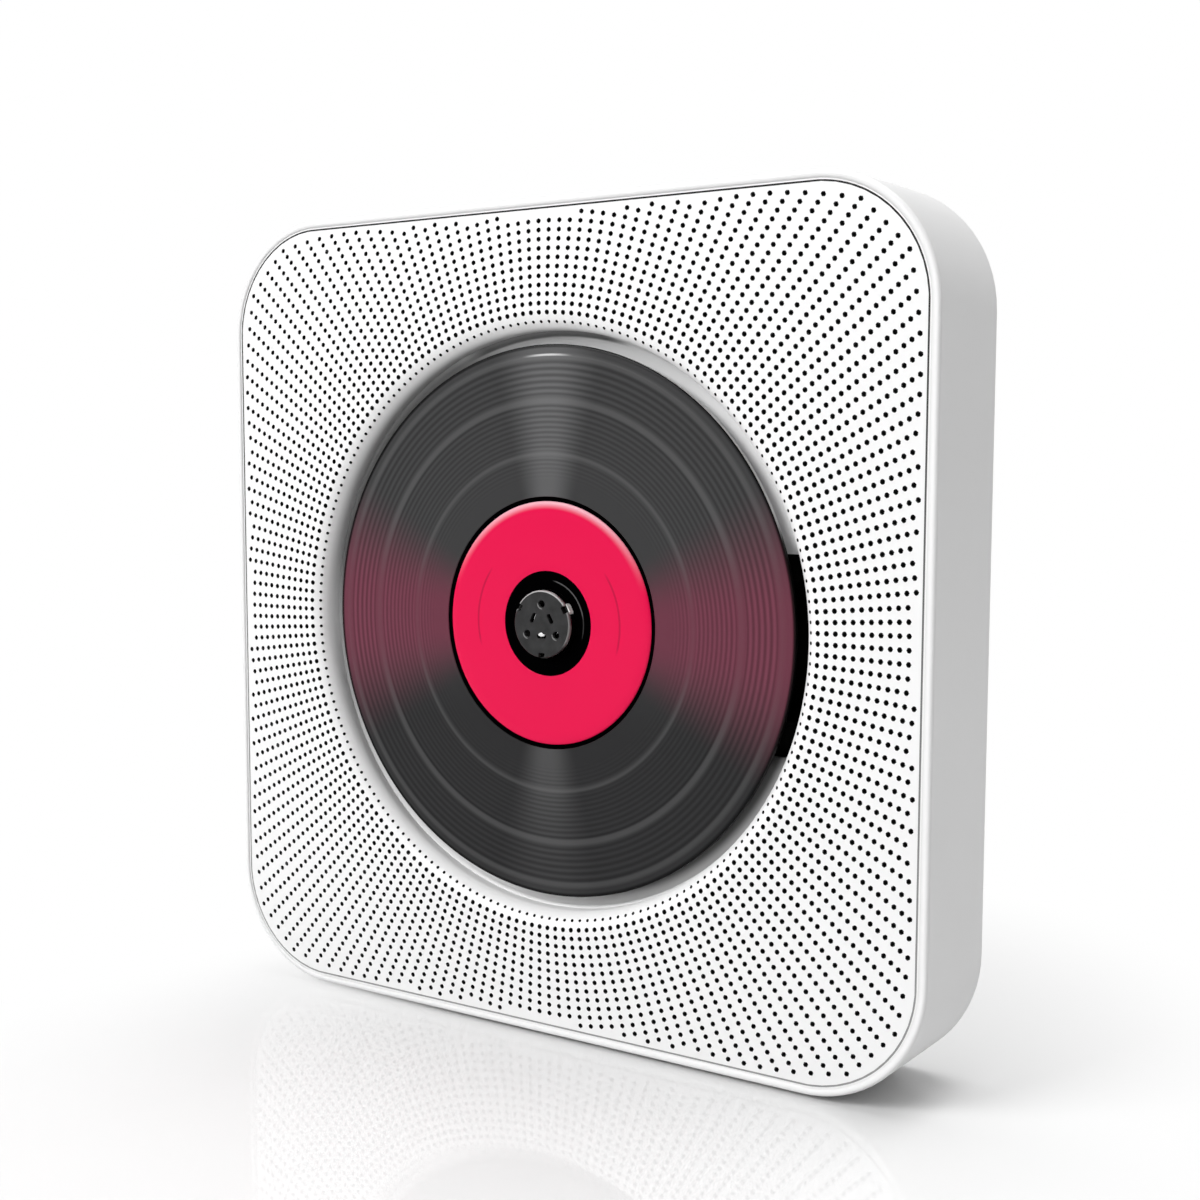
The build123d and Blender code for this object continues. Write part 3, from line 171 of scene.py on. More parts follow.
# The table is plain matt white for the light, and glossy for the camera. What the camera sees of it
# fades to white round an oval.
TABLE_SIZE = 12.0
TABLE_CELLS = 8
TABLE_WHITE = 0.66
TABLE_SEEN_WHITE = 0.81
TABLE_GLOSS = 0.13
TABLE_OVAL_MIDDLE = Vector((0.03, -0.12, 0.0))
TABLE_OVAL_HALF_WIDTH = 0.115
TABLE_OVAL_HALF_DEPTH = 0.22
TABLE_FADE_FROM = 0.6
TABLE_FADE_TO = 1.3
table_material = bpy.data.materials.new("table_gloss")
table_material.use_nodes = True
table_tree = table_material.node_tree
table_tree.nodes.clear()
table_out = table_tree.nodes.new("ShaderNodeOutputMaterial")
table_path = table_tree.nodes.new("ShaderNodeLightPath")
table_matt = table_tree.nodes.new("ShaderNodeBsdfDiffuse")
table_matt.inputs["Color"].default_value = (TABLE_WHITE, TABLE_WHITE, TABLE_WHITE, 1.0)
table_seen = table_tree.nodes.new("ShaderNodeBsdfDiffuse")
table_seen.inputs["Color"].default_value = (TABLE_SEEN_WHITE, TABLE_SEEN_WHITE, TABLE_SEEN_WHITE, 1.0)
table_shine = table_tree.nodes.new("ShaderNodeBsdfGlossy")
table_shine.inputs["Roughness"].default_value = 0.0
table_glow = table_tree.nodes.new("ShaderNodeEmission")
table_place = table_tree.nodes.new("ShaderNodeTexCoord")
table_oval = table_tree.nodes.new("ShaderNodeVectorMath")
table_oval.operation = "MULTIPLY_ADD"
table_oval.inputs[1].default_value = (1 / TABLE_OVAL_HALF_WIDTH, 1 / TABLE_OVAL_HALF_DEPTH, 0.0)
table_oval.inputs[2].default_value = (-TABLE_OVAL_MIDDLE.x / TABLE_OVAL_HALF_WIDTH,
                                      -TABLE_OVAL_MIDDLE.y / TABLE_OVAL_HALF_DEPTH, 0.0)
table_far = table_tree.nodes.new("ShaderNodeVectorMath")
table_far.operation = "LENGTH"
table_fade = smooth_range(table_tree, table_far.outputs["Value"], TABLE_FADE_FROM, TABLE_FADE_TO, 0.0, 1.0)
table_gloss_mix = table_tree.nodes.new("ShaderNodeMixShader")
table_gloss_mix.inputs[0].default_value = TABLE_GLOSS
table_fade_mix = table_tree.nodes.new("ShaderNodeMixShader")
table_ray_mix = table_tree.nodes.new("ShaderNodeMixShader")
join(table_tree,
     (table_place.outputs["Object"], table_oval.inputs[0]),
     (table_oval.outputs[0], table_far.inputs[0]),
     (table_seen.outputs[0], table_gloss_mix.inputs[1]),
     (table_shine.outputs[0], table_gloss_mix.inputs[2]),
     (table_fade, table_fade_mix.inputs[0]),
     (table_gloss_mix.outputs[0], table_fade_mix.inputs[1]),
     (table_glow.outputs[0], table_fade_mix.inputs[2]),
     (table_path.outputs["Is Camera Ray"], table_ray_mix.inputs[0]),
     (table_matt.outputs[0], table_ray_mix.inputs[1]),
     (table_fade_mix.outputs[0], table_ray_mix.inputs[2]),
     (table_ray_mix.outputs[0], table_out.inputs["Surface"]))
bm = bmesh.new()
bmesh.ops.create_grid(bm, x_segments=TABLE_CELLS, y_segments=TABLE_CELLS, size=TABLE_SIZE / 2)
bmesh.ops.translate(bm, verts=bm.verts, vec=(0, 0, cad_box[0].z))
table_mesh = bpy.data.meshes.new("table")
bm.to_mesh(table_mesh)
bm.free()
table = bpy.data.objects.new("table", table_mesh)
table_mesh.materials.append(table_material)
bpy.context.scene.collection.objects.link(table)

# ---- Case -------------------------------------------------------------------------------------------
# The side wall with its white border is one ABS moulding, closed by a rear cover. Both have a fine
# satin grain from the mould. The wall is the CAD moulding with its facets joined and shaded smooth.
SHELL_LEVEL = 0.88
SATIN = 0.42
GRAIN_SCALE = 900.0
GRAIN_DETAIL = 3.0
GRAIN_DEPTH = 0.01 * MM
GRAIN_STRENGTH = 0.6
GRAIN_SPREAD = 0.04
CLOUD_SCALE = 25.0
CLOUD_DETAIL = 2.0
COVER_PLATE_T = 2.2 * MM
INSIDE_SHADE_GAP = 0.1 * MM
CREASE = 35.0
FACET_WELD = 0.002 * MM


def grey(level):
    """A neutral colour."""
    return level, level, level


def math_node(tree, operation, *inputs):
    """A Math node whose inputs are sockets or numbers. Returns its output."""
    node = tree.nodes.new("ShaderNodeMath")
    node.operation = operation
    for socket, value in zip(node.inputs, inputs):
        if isinstance(value, (int, float)):
            socket.default_value = value
        else:
            tree.links.new(value, socket)
    return node.outputs[0]


def times(tree, first, second):
    """The product of two sockets or numbers."""
    return math_node(tree, "MULTIPLY", first, second)


def plus(tree, first, second):
    """The sum of two sockets or numbers."""
    return math_node(tree, "ADD", first, second)


def mixed_color(tree, factor, first, second):
    """A colour mixed from two colours or sockets. Returns its output."""
    node = tree.nodes.new("ShaderNodeMix")
    node.data_type = "RGBA"
    tree.links.new(factor, node.inputs["Factor"])
    for socket, value in ((node.inputs[6], first), (node.inputs[7], second)):
        if isinstance(value, tuple):
            socket.default_value = (*value, 1.0)
        else:
            tree.links.new(value, socket)
    return node.outputs[2]


def scaled_color(tree, color, factor):
    """A colour socket times a value socket."""
    node = tree.nodes.new("ShaderNodeVectorMath")
    node.operation = "SCALE"
    tree.links.new(color, node.inputs[0])
    tree.links.new(factor, node.inputs["Scale"])
    return node.outputs[0]


def principled(name, color, roughness, **sockets):
    """A material with one Principled BSDF. Returns the material, its node tree and the shader."""
    material = bpy.data.materials.new(name)
    material.use_nodes = True
    tree = material.node_tree
    shader = tree.nodes["Principled BSDF"]
    shader.inputs["Base Color"].default_value = (*color, 1.0)
    shader.inputs["Roughness"].default_value = roughness
    for socket, value in sockets.items():
        shader.inputs[socket.replace("_", " ")].default_value = value
    return material, tree, shader


def grain_group():
    """Fine mould grain: a height for the bump and a small change of colour and roughness."""
    group = bpy.data.node_groups.new("mould_grain", "ShaderNodeTree")
    for name, value in (("Scale", GRAIN_SCALE), ("Roughness", SATIN), ("Spread", GRAIN_SPREAD)):
        socket = group.interface.new_socket(name, in_out="INPUT", socket_type="NodeSocketFloat")
        socket.default_value = value
    group.interface.new_socket("Color", in_out="INPUT", socket_type="NodeSocketColor")
    group.interface.new_socket("Color", in_out="OUTPUT", socket_type="NodeSocketColor")
    group.interface.new_socket("Roughness", in_out="OUTPUT", socket_type="NodeSocketFloat")
    group.interface.new_socket("Height", in_out="OUTPUT", socket_type="NodeSocketFloat")
    into = group.nodes.new("NodeGroupInput")
    out = group.nodes.new("NodeGroupOutput")
    where = group.nodes.new("ShaderNodeTexCoord")
    grain = group.nodes.new("ShaderNodeTexNoise")
    grain.inputs["Detail"].default_value = GRAIN_DETAIL
    cloud = group.nodes.new("ShaderNodeTexNoise")
    cloud.inputs["Scale"].default_value = CLOUD_SCALE
    cloud.inputs["Detail"].default_value = CLOUD_DETAIL
    centred = math_node(group, "SUBTRACT", cloud.outputs["Fac"], 0.5)
    change = math_node(group, "MULTIPLY_ADD", centred, into.outputs["Spread"], into.outputs["Roughness"])
    tint = math_node(group, "MULTIPLY_ADD", centred, into.outputs["Spread"], 1.0)
    join(group,
         (where.outputs["Object"], grain.inputs["Vector"]),
         (where.outputs["Object"], cloud.inputs["Vector"]),
         (into.outputs["Scale"], grain.inputs["Scale"]),
         (scaled_color(group, into.outputs["Color"], tint), out.inputs["Color"]),
         (change, out.inputs["Roughness"]),
         (grain.outputs["Fac"], out.inputs["Height"]))
    return group


MOULD_GRAIN = grain_group()


def moulded(name, color, roughness, grain=GRAIN_SCALE, depth=GRAIN_DEPTH, spread=GRAIN_SPREAD, **sockets):
    """Moulded plastic, rubber or cast metal with the mould's grain in its bump and roughness."""
    material, tree, shader = principled(name, color, roughness, **sockets)
    surface = tree.nodes.new("ShaderNodeGroup")
    surface.node_tree = MOULD_GRAIN
    surface.inputs["Color"].default_value = (*color, 1.0)
    surface.inputs["Roughness"].default_value = roughness
    surface.inputs["Scale"].default_value = grain
    surface.inputs["Spread"].default_value = spread
    bump = tree.nodes.new("ShaderNodeBump")
    bump.inputs["Distance"].default_value = depth
    bump.inputs["Strength"].default_value = GRAIN_STRENGTH
    join(tree,
         (surface.outputs["Color"], shader.inputs["Base Color"]),
         (surface.outputs["Roughness"], shader.inputs["Roughness"]),
         (surface.outputs["Height"], bump.inputs["Height"]),
         (bump.outputs["Normal"], shader.inputs["Normal"]))
    return material


def piece(bm, name, materials, body, slot, *stands_for, crease=CREASE):
    """Turn a bmesh into a finished piece that rides on a body and stands for some CAD nodes."""
    mesh = bpy.data.meshes.new(name)
    bm.to_mesh(mesh)
    bm.free()
    for material in materials:
        mesh.materials.append(material)
    mesh.polygons.foreach_set("use_smooth", [True] * len(mesh.polygons))
    mesh.set_sharp_from_angle(angle=radians(crease))
    made = bpy.data.objects.new(name, mesh)
    bpy.context.scene.collection.objects.link(made)
    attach(made, body)
    if stands_for:
        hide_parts(*stands_for)
    return made


def weigh_normals(made):
    """Shade the flats flat and the rounds round."""
    weighted = made.modifiers.new("flat_faces", "WEIGHTED_NORMAL")
    weighted.keep_sharp = True
    weighted.weight = 100


SLOT_OF = {part["node"]: part["material_slot"] for part in frame["record"]["subparts"]}


def shaded(material, *nodes):
    """Copies of CAD nodes with their facets joined and shaded smooth. They stand for the nodes."""
    for node in nodes:
        bm = bmesh.new()
        bm.from_mesh(frame["nodes"][node].data)
        bmesh.ops.remove_doubles(bm, verts=bm.verts, dist=FACET_WELD)
        body = frame["nodes"][node]["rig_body"]
        weigh_normals(piece(bm, node + "_shaded", [material], body, SLOT_OF[node], node))


shell_white = moulded("shell_white", grey(SHELL_LEVEL), SATIN)
shaded(shell_white, "housing_shell")


def color_feed(material):
    """A moulded material's tree, its base colour socket and the output that feeds it."""
    tree = material.node_tree
    base = tree.nodes["Principled BSDF"].inputs["Base Color"]
    return tree, base, base.links[0].from_socket


def length_of(tree, x, z):
    """The length of the line from nought to x, z."""
    return math_node(tree, "SQRT", plus(tree, times(tree, x, x), times(tree, z, z)))


def well_place(tree):
    """Sockets for x, depth behind the front, z and radius from the disc's axis, all in metres."""
    where = tree.nodes.new("ShaderNodeTexCoord")
    centred = tree.nodes.new("ShaderNodeVectorMath")
    centred.operation = "SUBTRACT"
    centred.inputs[1].default_value = AXIS
    apart = tree.nodes.new("ShaderNodeSeparateXYZ")
    join(tree, (where.outputs["Object"], centred.inputs[0]), (centred.outputs[0], apart.inputs[0]))
    x, depth, z = (apart.outputs[axis] for axis in "XYZ")
    return x, depth, z, length_of(tree, x, z)


def white_with_inside_shade():
    """The shell's white plastic, with painted shade: black on the inside of the cover's plate."""
    material = moulded("cover_white_inside_shade", grey(SHELL_LEVEL), SATIN)
    tree, base, white = color_feed(material)
    inner_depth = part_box("rear_cover")[1].y - FRONT_Y - COVER_PLATE_T
    # Painted shade: the cover's inner face, seen deep through the well's slot, is black.
    behind = math_node(tree, "GREATER_THAN", well_place(tree)[1], inner_depth + INSIDE_SHADE_GAP)
    tree.links.new(mixed_color(tree, behind, grey(0.002), white), base)
    return material


shaded(white_with_inside_shade(), "rear_cover")

# ---- Disc well floor --------------------------------------------------------------------------------
# The deck closes the bottom of the well. It is white ABS, screwed to four posts behind the panel. Painted
# shade greys its white where the disc's edge lies close over it.
DECK_LEVEL = 0.80
SHADE_INNER_R = 55.5 * MM
SHADE_FADE = 1.5 * MM
DECK_PAINTED_SHADES = (("radius", 62.2 * MM, 59.8 * MM, 0.15, radians(315), 0.68, 0.95),
               ("radius", 64.0 * MM, 63.0 * MM, 0.35, radians(142), 0.78, 0.92),
               ("radius", 61.5 * MM, 62.0 * MM, 0.20, radians(93), 0.93, 0.97),
               ("radius", 62.8 * MM, 61.4 * MM, 0.38, radians(212), 0.85, 0.96))


def facing(tree, x, z, r, angle):
    """The cosine of the turn, round the disc's axis, from an angle to the place at x, z."""
    return math_node(tree, "DIVIDE", plus(tree, times(tree, x, cos(angle)), times(tree, z, sin(angle))), r)


def with_painted_shade(material, *painted_shades):
    """Paint shade into a material's colour in places. Each painted shade gives the measure, depth or radius,
    where it is clear and where full, its darkest factor, the angle of its side of the well, and the least and
    most cosine from that angle between which it comes up. None reaches in past the disc's edge."""
    tree, base, color = color_feed(material)
    x, depth, z, r = well_place(tree)
    outside = smooth_range(tree, r, SHADE_INNER_R, SHADE_INNER_R + SHADE_FADE, 0.0, 1.0)
    for measure, clear, full, darkest, angle, least, most in painted_shades:
        near = smooth_range(tree, facing(tree, x, z, r, angle), least, most, 0.0, 1.0)
        deep = smooth_range(tree, {"depth": depth, "radius": r}[measure], clear, full, 0.0, 1.0)
        share = times(tree, times(tree, near, outside), deep)
        color = scaled_color(tree, color, math_node(tree, "MULTIPLY_ADD", share, darkest - 1.0, 1.0))
    tree.links.new(color, base)
    return material


shaded(with_painted_shade(moulded("deck_white", grey(DECK_LEVEL), SATIN), *DECK_PAINTED_SHADES), "disc_deck")

# ---- Front panel ------------------------------------------------------------------------------------
# The panel is a satin white ABS plate that rolls over a lip into the disc well. The speaker holes lie
# on rays from the disc's axis, in rings of equal pitch, and stop just inside the panel's edge.
HOLE_PITCH = 1.9 * MM
HOLE_RAYS = 200
HOLE_R = 0.56 * MM
LIP_HOLE_R = 0.38 * MM
HOLE_DEPTH = 0.95 * MM
FIRST_RING = 34
LAST_RING = 59
SHEET_RINGS = 61
FIELD_HALF = 86.9 * MM
FIELD_CORNER = 22.3 * MM
PLATE_T = 1.8 * MM
LIP_START = 67.3 * MM
LIP_R = 4.4 * MM
LIP_RISE_TURNS = (90.0, 81.5, 73.0, 64.5)
LIP_UNDER_TURNS = (90.0, 67.5, 45.0, 22.5, 0.0)
COLLAR_END = 5.6 * MM
WELL_R = LIP_START - LIP_R
panel_low, panel_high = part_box("front_panel")
PANEL_TRIM = 0.38 * MM
PANEL_HALF = (panel_high.x - panel_low.x) / 2 - PANEL_TRIM
PANEL_CORNER = 24.05 * MM - PANEL_TRIM
PANEL_LEVEL = 0.90
CORNER_CUTS = 12
WELD = 0.001 * MM
CENTRE_SEARCH = 0.05 * MM
CELL_INSET = 0.15 * MM
CELL_MAX_DEPTH = 1.6 * MM
PLAIN_FACE_CORNERS = 6
FLAT_DEPTH = 0.1 * MM
RIM_DEPTH = 0.5 * MM
TOUCH = 0.01 * MM
PAINTED_SHADE_SLOT = 1


def lip_depth(r):
    """Depth of the panel's face behind its front at this radius from the disc's axis."""
    into = max(LIP_START - r, 0.0)
    return LIP_R - sqrt(max(LIP_R**2 - into**2, 0.0))


def inside_rounded(x, z, half, corner):
    """Whether a point lies in a rounded square."""
    dx = max(abs(x) - half + corner, 0.0)
    dz = max(abs(z) - half + corner, 0.0)
    return max(abs(x), abs(z)) <= half and hypot(dx, dz) <= corner


def from_axis(point):
    """A point's distance from the disc's axis."""
    return hypot(point.x - AXIS.x, point.z - AXIS.z)


def spun(bm, profile, steps):
    """Spin a profile of (radius, depth behind the front) round the disc's axis."""
    verts = [bm.verts.new(AXIS + Vector((r, y, 0))) for r, y in profile]
    edges = [bm.edges.new(pair) for pair in zip(verts, verts[1:])]
    bmesh.ops.spin(bm, geom=verts + edges, cent=AXIS, axis=(0, 1, 0), dvec=(0, 0, 0),
                   angle=tau, steps=steps, use_merge=True, use_duplicate=False)


bm = bmesh.new()
under = [(WELL_R + PLATE_T + (LIP_R - PLATE_T) * (1 - cos(a)), LIP_R - (LIP_R - PLATE_T) * sin(a))
         for a in (radians(turn) for turn in LIP_UNDER_TURNS)]
rise = [(LIP_START - LIP_R * sin(a), LIP_R - LIP_R * cos(a))
        for a in (radians(turn) for turn in LIP_RISE_TURNS)]
sheet_radii = [i * HOLE_PITCH / 2 for i in range(2 * FIRST_RING - 1, 2 * SHEET_RINGS + 1)]
sheet = [(r, lip_depth(r)) for r in sheet_radii]
spun(bm, [*under, (WELL_R + PLATE_T, COLLAR_END), (WELL_R, COLLAR_END), *rise, *sheet], 2 * HOLE_RAYS)
bmesh.ops.recalc_face_normals(bm, faces=bm.faces)
front_faces = [f for f in bm.faces if f.calc_center_median().y < AXIS.y + FLAT_DEPTH]
if sum(f.normal.y * f.calc_area() for f in front_faces) > 0:
    bmesh.ops.reverse_faces(bm, faces=bm.faces)

# The round sheet is cut to the panel's rounded square.
corner_middle = PANEL_HALF - PANEL_CORNER
for quarter in range(4):
    turn = pi / 4 + quarter * pi / 2
    diagonal = Vector((sqrt(2) * cos(turn), 0, sqrt(2) * sin(turn)))
    for i in range(CORNER_CUTS + 1):
        angle = pi / 2 * (quarter + i / CORNER_CUTS)
        normal = Vector((cos(angle), 0, sin(angle)))
        bmesh.ops.bisect_plane(bm, geom=bm.verts[:] + bm.edges[:] + bm.faces[:], dist=WELD,
                               plane_co=AXIS + diagonal * corner_middle + normal * PANEL_CORNER,
                               plane_no=normal, clear_outer=True)

# Each hole starts from the vertex at its centre: the faces round it become one, which is inset to a
# circle and pushed in. Its wall and floor are near black, painted shade for the inside of the hole.
rays = [(cos(tau * j / HOLE_RAYS), sin(tau * j / HOLE_RAYS)) for j in range(HOLE_RAYS)]
holes = {(k, j) for k in range(FIRST_RING, LAST_RING + 1) for j, (c, s) in enumerate(rays)
         if inside_rounded(k * HOLE_PITCH * c, k * HOLE_PITCH * s, FIELD_HALF, FIELD_CORNER)}


def hole_place(point):
    """The ring and ray whose hole lies nearest to a point of the panel."""
    ray = round(atan2(point.z - AXIS.z, point.x - AXIS.x) / tau * HOLE_RAYS)
    return round(from_axis(point) / HOLE_PITCH), ray % HOLE_RAYS


def hole_centre(k, j):
    """The middle of the hole on ring k and ray j, on the panel's face."""
    r = k * HOLE_PITCH
    return AXIS + Vector((r * rays[j][0], lip_depth(r), r * rays[j][1]))


front_verts = [v for v in bm.verts if v.co.y < AXIS.y + lip_depth(sheet_radii[0]) + TOUCH
               and from_axis(v.co) > sheet_radii[0]]
centres = [v for v in front_verts if hole_place(v.co) in holes
           and (v.co - hole_centre(*hole_place(v.co))).length < CENTRE_SEARCH]
bmesh.ops.dissolve_verts(bm, verts=centres)
cells = [f for f in bm.faces if len(f.verts) > PLAIN_FACE_CORNERS
         and f.calc_center_median().y < AXIS.y + CELL_MAX_DEPTH]
bmesh.ops.inset_individual(bm, faces=cells, thickness=CELL_INSET, use_even_offset=False)
for cell in cells:
    k, j = hole_place(cell.calc_center_median())
    centre = hole_centre(k, j)
    around = Vector((-rays[j][1], 0, rays[j][0]))
    lip_slope = -(LIP_START - min(k * HOLE_PITCH, LIP_START)) / LIP_R
    outward = Vector((rays[j][0], lip_slope, rays[j][1])).normalized()
    radius = LIP_HOLE_R if k == FIRST_RING else HOLE_R
    for v in cell.verts:
        across, along = (v.co - centre).dot(around), (v.co - centre).dot(outward)
        v.co = centre + (around * across + outward * along).normalized() * radius
floors = bmesh.ops.extrude_discrete_faces(bm, faces=cells)["faces"]
for floor in floors:
    floor.material_index = PAINTED_SHADE_SLOT
    for edge in floor.edges:
        for wall in edge.link_faces:
            wall.material_index = PAINTED_SHADE_SLOT
bmesh.ops.translate(bm, verts=list({v for floor in floors for v in floor.verts}), vec=(0, HOLE_DEPTH, 0))

# The rim of the sheet is turned back and the back is closed. The turned-back rim is near black, painted
# shade in the joint round the panel.
rim = [e for e in bm.edges if e.is_boundary and e.verts[0].co.y < AXIS.y + RIM_DEPTH]
turned_back = bmesh.ops.extrude_edge_only(bm, edges=rim)["geom"]
rim_verts = [g for g in turned_back if isinstance(g, bmesh.types.BMVert)]
bmesh.ops.translate(bm, verts=rim_verts, vec=(0, PLATE_T, 0))
for rim_face in (g for g in turned_back if isinstance(g, bmesh.types.BMFace)):
    rim_face.material_index = PAINTED_SHADE_SLOT
bmesh.ops.triangle_fill(bm, edges=[e for e in bm.edges if e.is_boundary], use_beauty=True)
bmesh.ops.recalc_face_normals(bm, faces=bm.faces)
# Painted shade: the panel's white greys down the lip into the well, most on the well's upper side.
panel_white = with_painted_shade(moulded("panel_white", grey(PANEL_LEVEL), SATIN),
                       ("depth", 1.5 * MM, 4.2 * MM, 0.42, radians(100), 0.05, 0.9))
hole_and_rim_shade = moulded("speaker_hole_painted_shade", grey(0.006), 0.8)
piece(bm, "perforated_panel", [panel_white, hole_and_rim_shade], "housing", "panel_white", "front_panel")

# ---- Seal strip -------------------------------------------------------------------------------------
# A rubber strip fills the joint between the panel and the case's border: a white bead on the side of
# the border, and beside it a floor just below the panel's face, dark with painted shade in the joint.
LINE_W = 0.4 * MM
BEAD_W = PANEL_TRIM + 0.3 * MM - LINE_W
STRIP_SINK = 0.05 * MM
STRIP_BACK = 1.5 * MM
STRIP_STEPS = 96
BEAD_SLOT, JOINT_SHADE_SLOT = range(2)
bm = bmesh.new()
line_end = PANEL_CORNER + LINE_W
bead_end = line_end + BEAD_W
spun(bm, [(PANEL_CORNER, STRIP_SINK), (line_end, STRIP_SINK), (line_end, 0.0), (bead_end, 0.0),
          (bead_end, STRIP_BACK), (PANEL_CORNER, STRIP_BACK), (PANEL_CORNER, STRIP_SINK)], STRIP_STEPS)
bmesh.ops.remove_doubles(bm, verts=bm.verts, dist=WELD)

# The ring is turned by half a step, and its quarters are moved out to the panel's corners.
bmesh.ops.rotate(bm, verts=bm.verts, cent=AXIS, matrix=Matrix.Rotation(pi / STRIP_STEPS, 3, "Y"))
for sign_x in (-1, 1):
    for sign_z in (-1, 1):
        quarter = [v for v in bm.verts if (v.co.x - AXIS.x) * sign_x > 0 and (v.co.z - AXIS.z) * sign_z > 0]
        bmesh.ops.translate(bm, verts=quarter, vec=(sign_x * corner_middle, 0, sign_z * corner_middle))
bmesh.ops.recalc_face_normals(bm, faces=bm.faces)
for face in bm.faces:
    sunk = face.normal.y < -0.5 and face.calc_center_median().y > AXIS.y + 0.5 * STRIP_SINK
    face.material_index = JOINT_SHADE_SLOT if sunk else BEAD_SLOT


def strip_joint_shade():
    """Painted shade in the joint: near black at the top, greying towards the bottom."""
    material, tree, shader = principled("strip_joint_shade", grey(0.05), 0.7)
    lift = smooth_range(tree, well_place(tree)[2], PANEL_HALF, -PANEL_HALF, 0.0, 1.0)
    tree.links.new(mixed_color(tree, lift, grey(0.004), grey(0.30)), shader.inputs["Base Color"])
    return material


piece(bm, "seal_strip", [shell_white, strip_joint_shade()], "housing", "grey_rubber")

# ---- Disc -------------------------------------------------------------------------------------------
# The disc is printed like a small record: fine rings in dark grey, smooth bands and a bare pink label
# with a rounded edge. A soft sheen, reflections, highlights and shade are painted over the print. The
# blank is dyed black, with a silvered back.
DISC_RADIUS_IN_MM = 60
DISC_R = (disc_high.x - disc_low.x) / 2
DISC_TOP = disc_low.y - FRONT_Y
DISC_BACK = disc_high.y - FRONT_Y
DISC_STEPS = 192
HOLE_EDGE_R = 7.5 * MM
HOLE_CHAMFER = 0.12 * MM
STACKING_R = 9.5 * MM
STACKING_SINK = 0.06 * MM
HUB_ZONE_R = 11.45 * MM
LABEL_R = 26.5 * MM
LABEL_RISE = 0.12 * MM
LABEL_ROUND = 2.2 * MM
LABEL_ROUND_PARTS = 6
LABEL_DROP = 0.3 * MM
LABEL_RING_R = 18.8 * MM
MOAT_R = 27.5 * MM
BEAD_RISE = 0.02 * MM
RING_STEP = 0.0258
RING_R = 40.75 * MM
RING_PARTS = 6
RING_DEPTH = 0.018 * MM
FACE_FROM = 1.03 * MOAT_R
RINGS_FROM = 31.5 * MM
BANDS = ((36.0 * MM, 37.3 * MM), (47.2 * MM, 49.1 * MM), (56.4 * MM, 58.2 * MM))
GLINT_R = 57.75 * MM
RIM_SINK = 0.05 * MM
BACK_RING_R = 17.5 * MM
BACK_RING_RISE = 0.2 * MM
EDGE_ROUND = 0.2 * MM
PRINT_SLOT, LABEL_SLOT, HUB_ZONE_SLOT, EDGE_SLOT, SILVER_SLOT = range(5)


def ring_depth(r):
    """Depth of the fine rings below the disc's face. The bands between them are smooth."""
    if r < RINGS_FROM or any(inner < r < outer for inner, outer in BANDS) or r > BANDS[-1][0]:
        return 0.0
    return RING_DEPTH * (0.5 + 0.5 * cos(tau * log(r / RING_R) / RING_STEP)) * r / DISC_R


# The profile runs outwards over the face, down the edge and back over the silvered side.
label_floor = DISC_TOP + LABEL_DROP
label_edge = [(LABEL_R - LABEL_ROUND * (1 - sin(a)),
               DISC_TOP - LABEL_RISE + (LABEL_RISE + LABEL_DROP) * (1 - cos(a)))
              for a in (pi / 2 * i / LABEL_ROUND_PARTS for i in range(LABEL_ROUND_PARTS + 1))]
first_ring = round(log(FACE_FROM / RING_R) / RING_STEP * RING_PARTS)
last_ring = round(log(BANDS[-1][0] / RING_R) / RING_STEP * RING_PARTS)
ring_radii = [RING_R * exp(RING_STEP * i / RING_PARTS) for i in range(first_ring, last_ring + 1)]
disc_profile = [
    (HOLE_EDGE_R, DISC_BACK), (HOLE_EDGE_R, DISC_TOP + HOLE_CHAMFER), (HOLE_EDGE_R + HOLE_CHAMFER, DISC_TOP),
    (STACKING_R - 0.2 * MM, DISC_TOP), (STACKING_R - 0.1 * MM, DISC_TOP + STACKING_SINK),
    (STACKING_R + 0.1 * MM, DISC_TOP + STACKING_SINK), (STACKING_R + 0.2 * MM, DISC_TOP),
    (HUB_ZONE_R - 0.03 * MM, DISC_TOP), (HUB_ZONE_R, DISC_TOP - LABEL_RISE / 2),
    (HUB_ZONE_R + 0.08 * MM, DISC_TOP - LABEL_RISE), *label_edge,
    (LABEL_R + 0.1 * MM, label_floor), (MOAT_R - 0.2 * MM, label_floor),
    (MOAT_R, DISC_TOP + 0.1 * MM), (MOAT_R + 0.12 * MM, DISC_TOP - BEAD_RISE),
    (MOAT_R + 0.3 * MM, DISC_TOP - BEAD_RISE), (MOAT_R + 0.45 * MM, DISC_TOP),
    *((r, DISC_TOP + ring_depth(r)) for r in ring_radii),
    (57.3 * MM, DISC_TOP - BEAD_RISE), (57.6 * MM, DISC_TOP - BEAD_RISE), (57.9 * MM, DISC_TOP + RIM_SINK),
    (59.0 * MM, DISC_TOP + RIM_SINK), (59.6 * MM, DISC_TOP + 0.08 * MM), (59.85 * MM, DISC_TOP + 0.18 * MM),
    (DISC_R, DISC_TOP + 0.35 * MM), (DISC_R, DISC_BACK - EDGE_ROUND), (DISC_R - EDGE_ROUND, DISC_BACK),
    (BACK_RING_R + 0.5 * MM, DISC_BACK), (BACK_RING_R + 0.25 * MM, DISC_BACK + BACK_RING_RISE),
    (BACK_RING_R - 0.25 * MM, DISC_BACK + BACK_RING_RISE), (BACK_RING_R - 0.5 * MM, DISC_BACK),
    (HOLE_EDGE_R, DISC_BACK)]
bm = bmesh.new()
spun(bm, disc_profile, DISC_STEPS)
bmesh.ops.remove_doubles(bm, verts=bm.verts, dist=WELD)
bmesh.ops.recalc_face_normals(bm, faces=bm.faces)
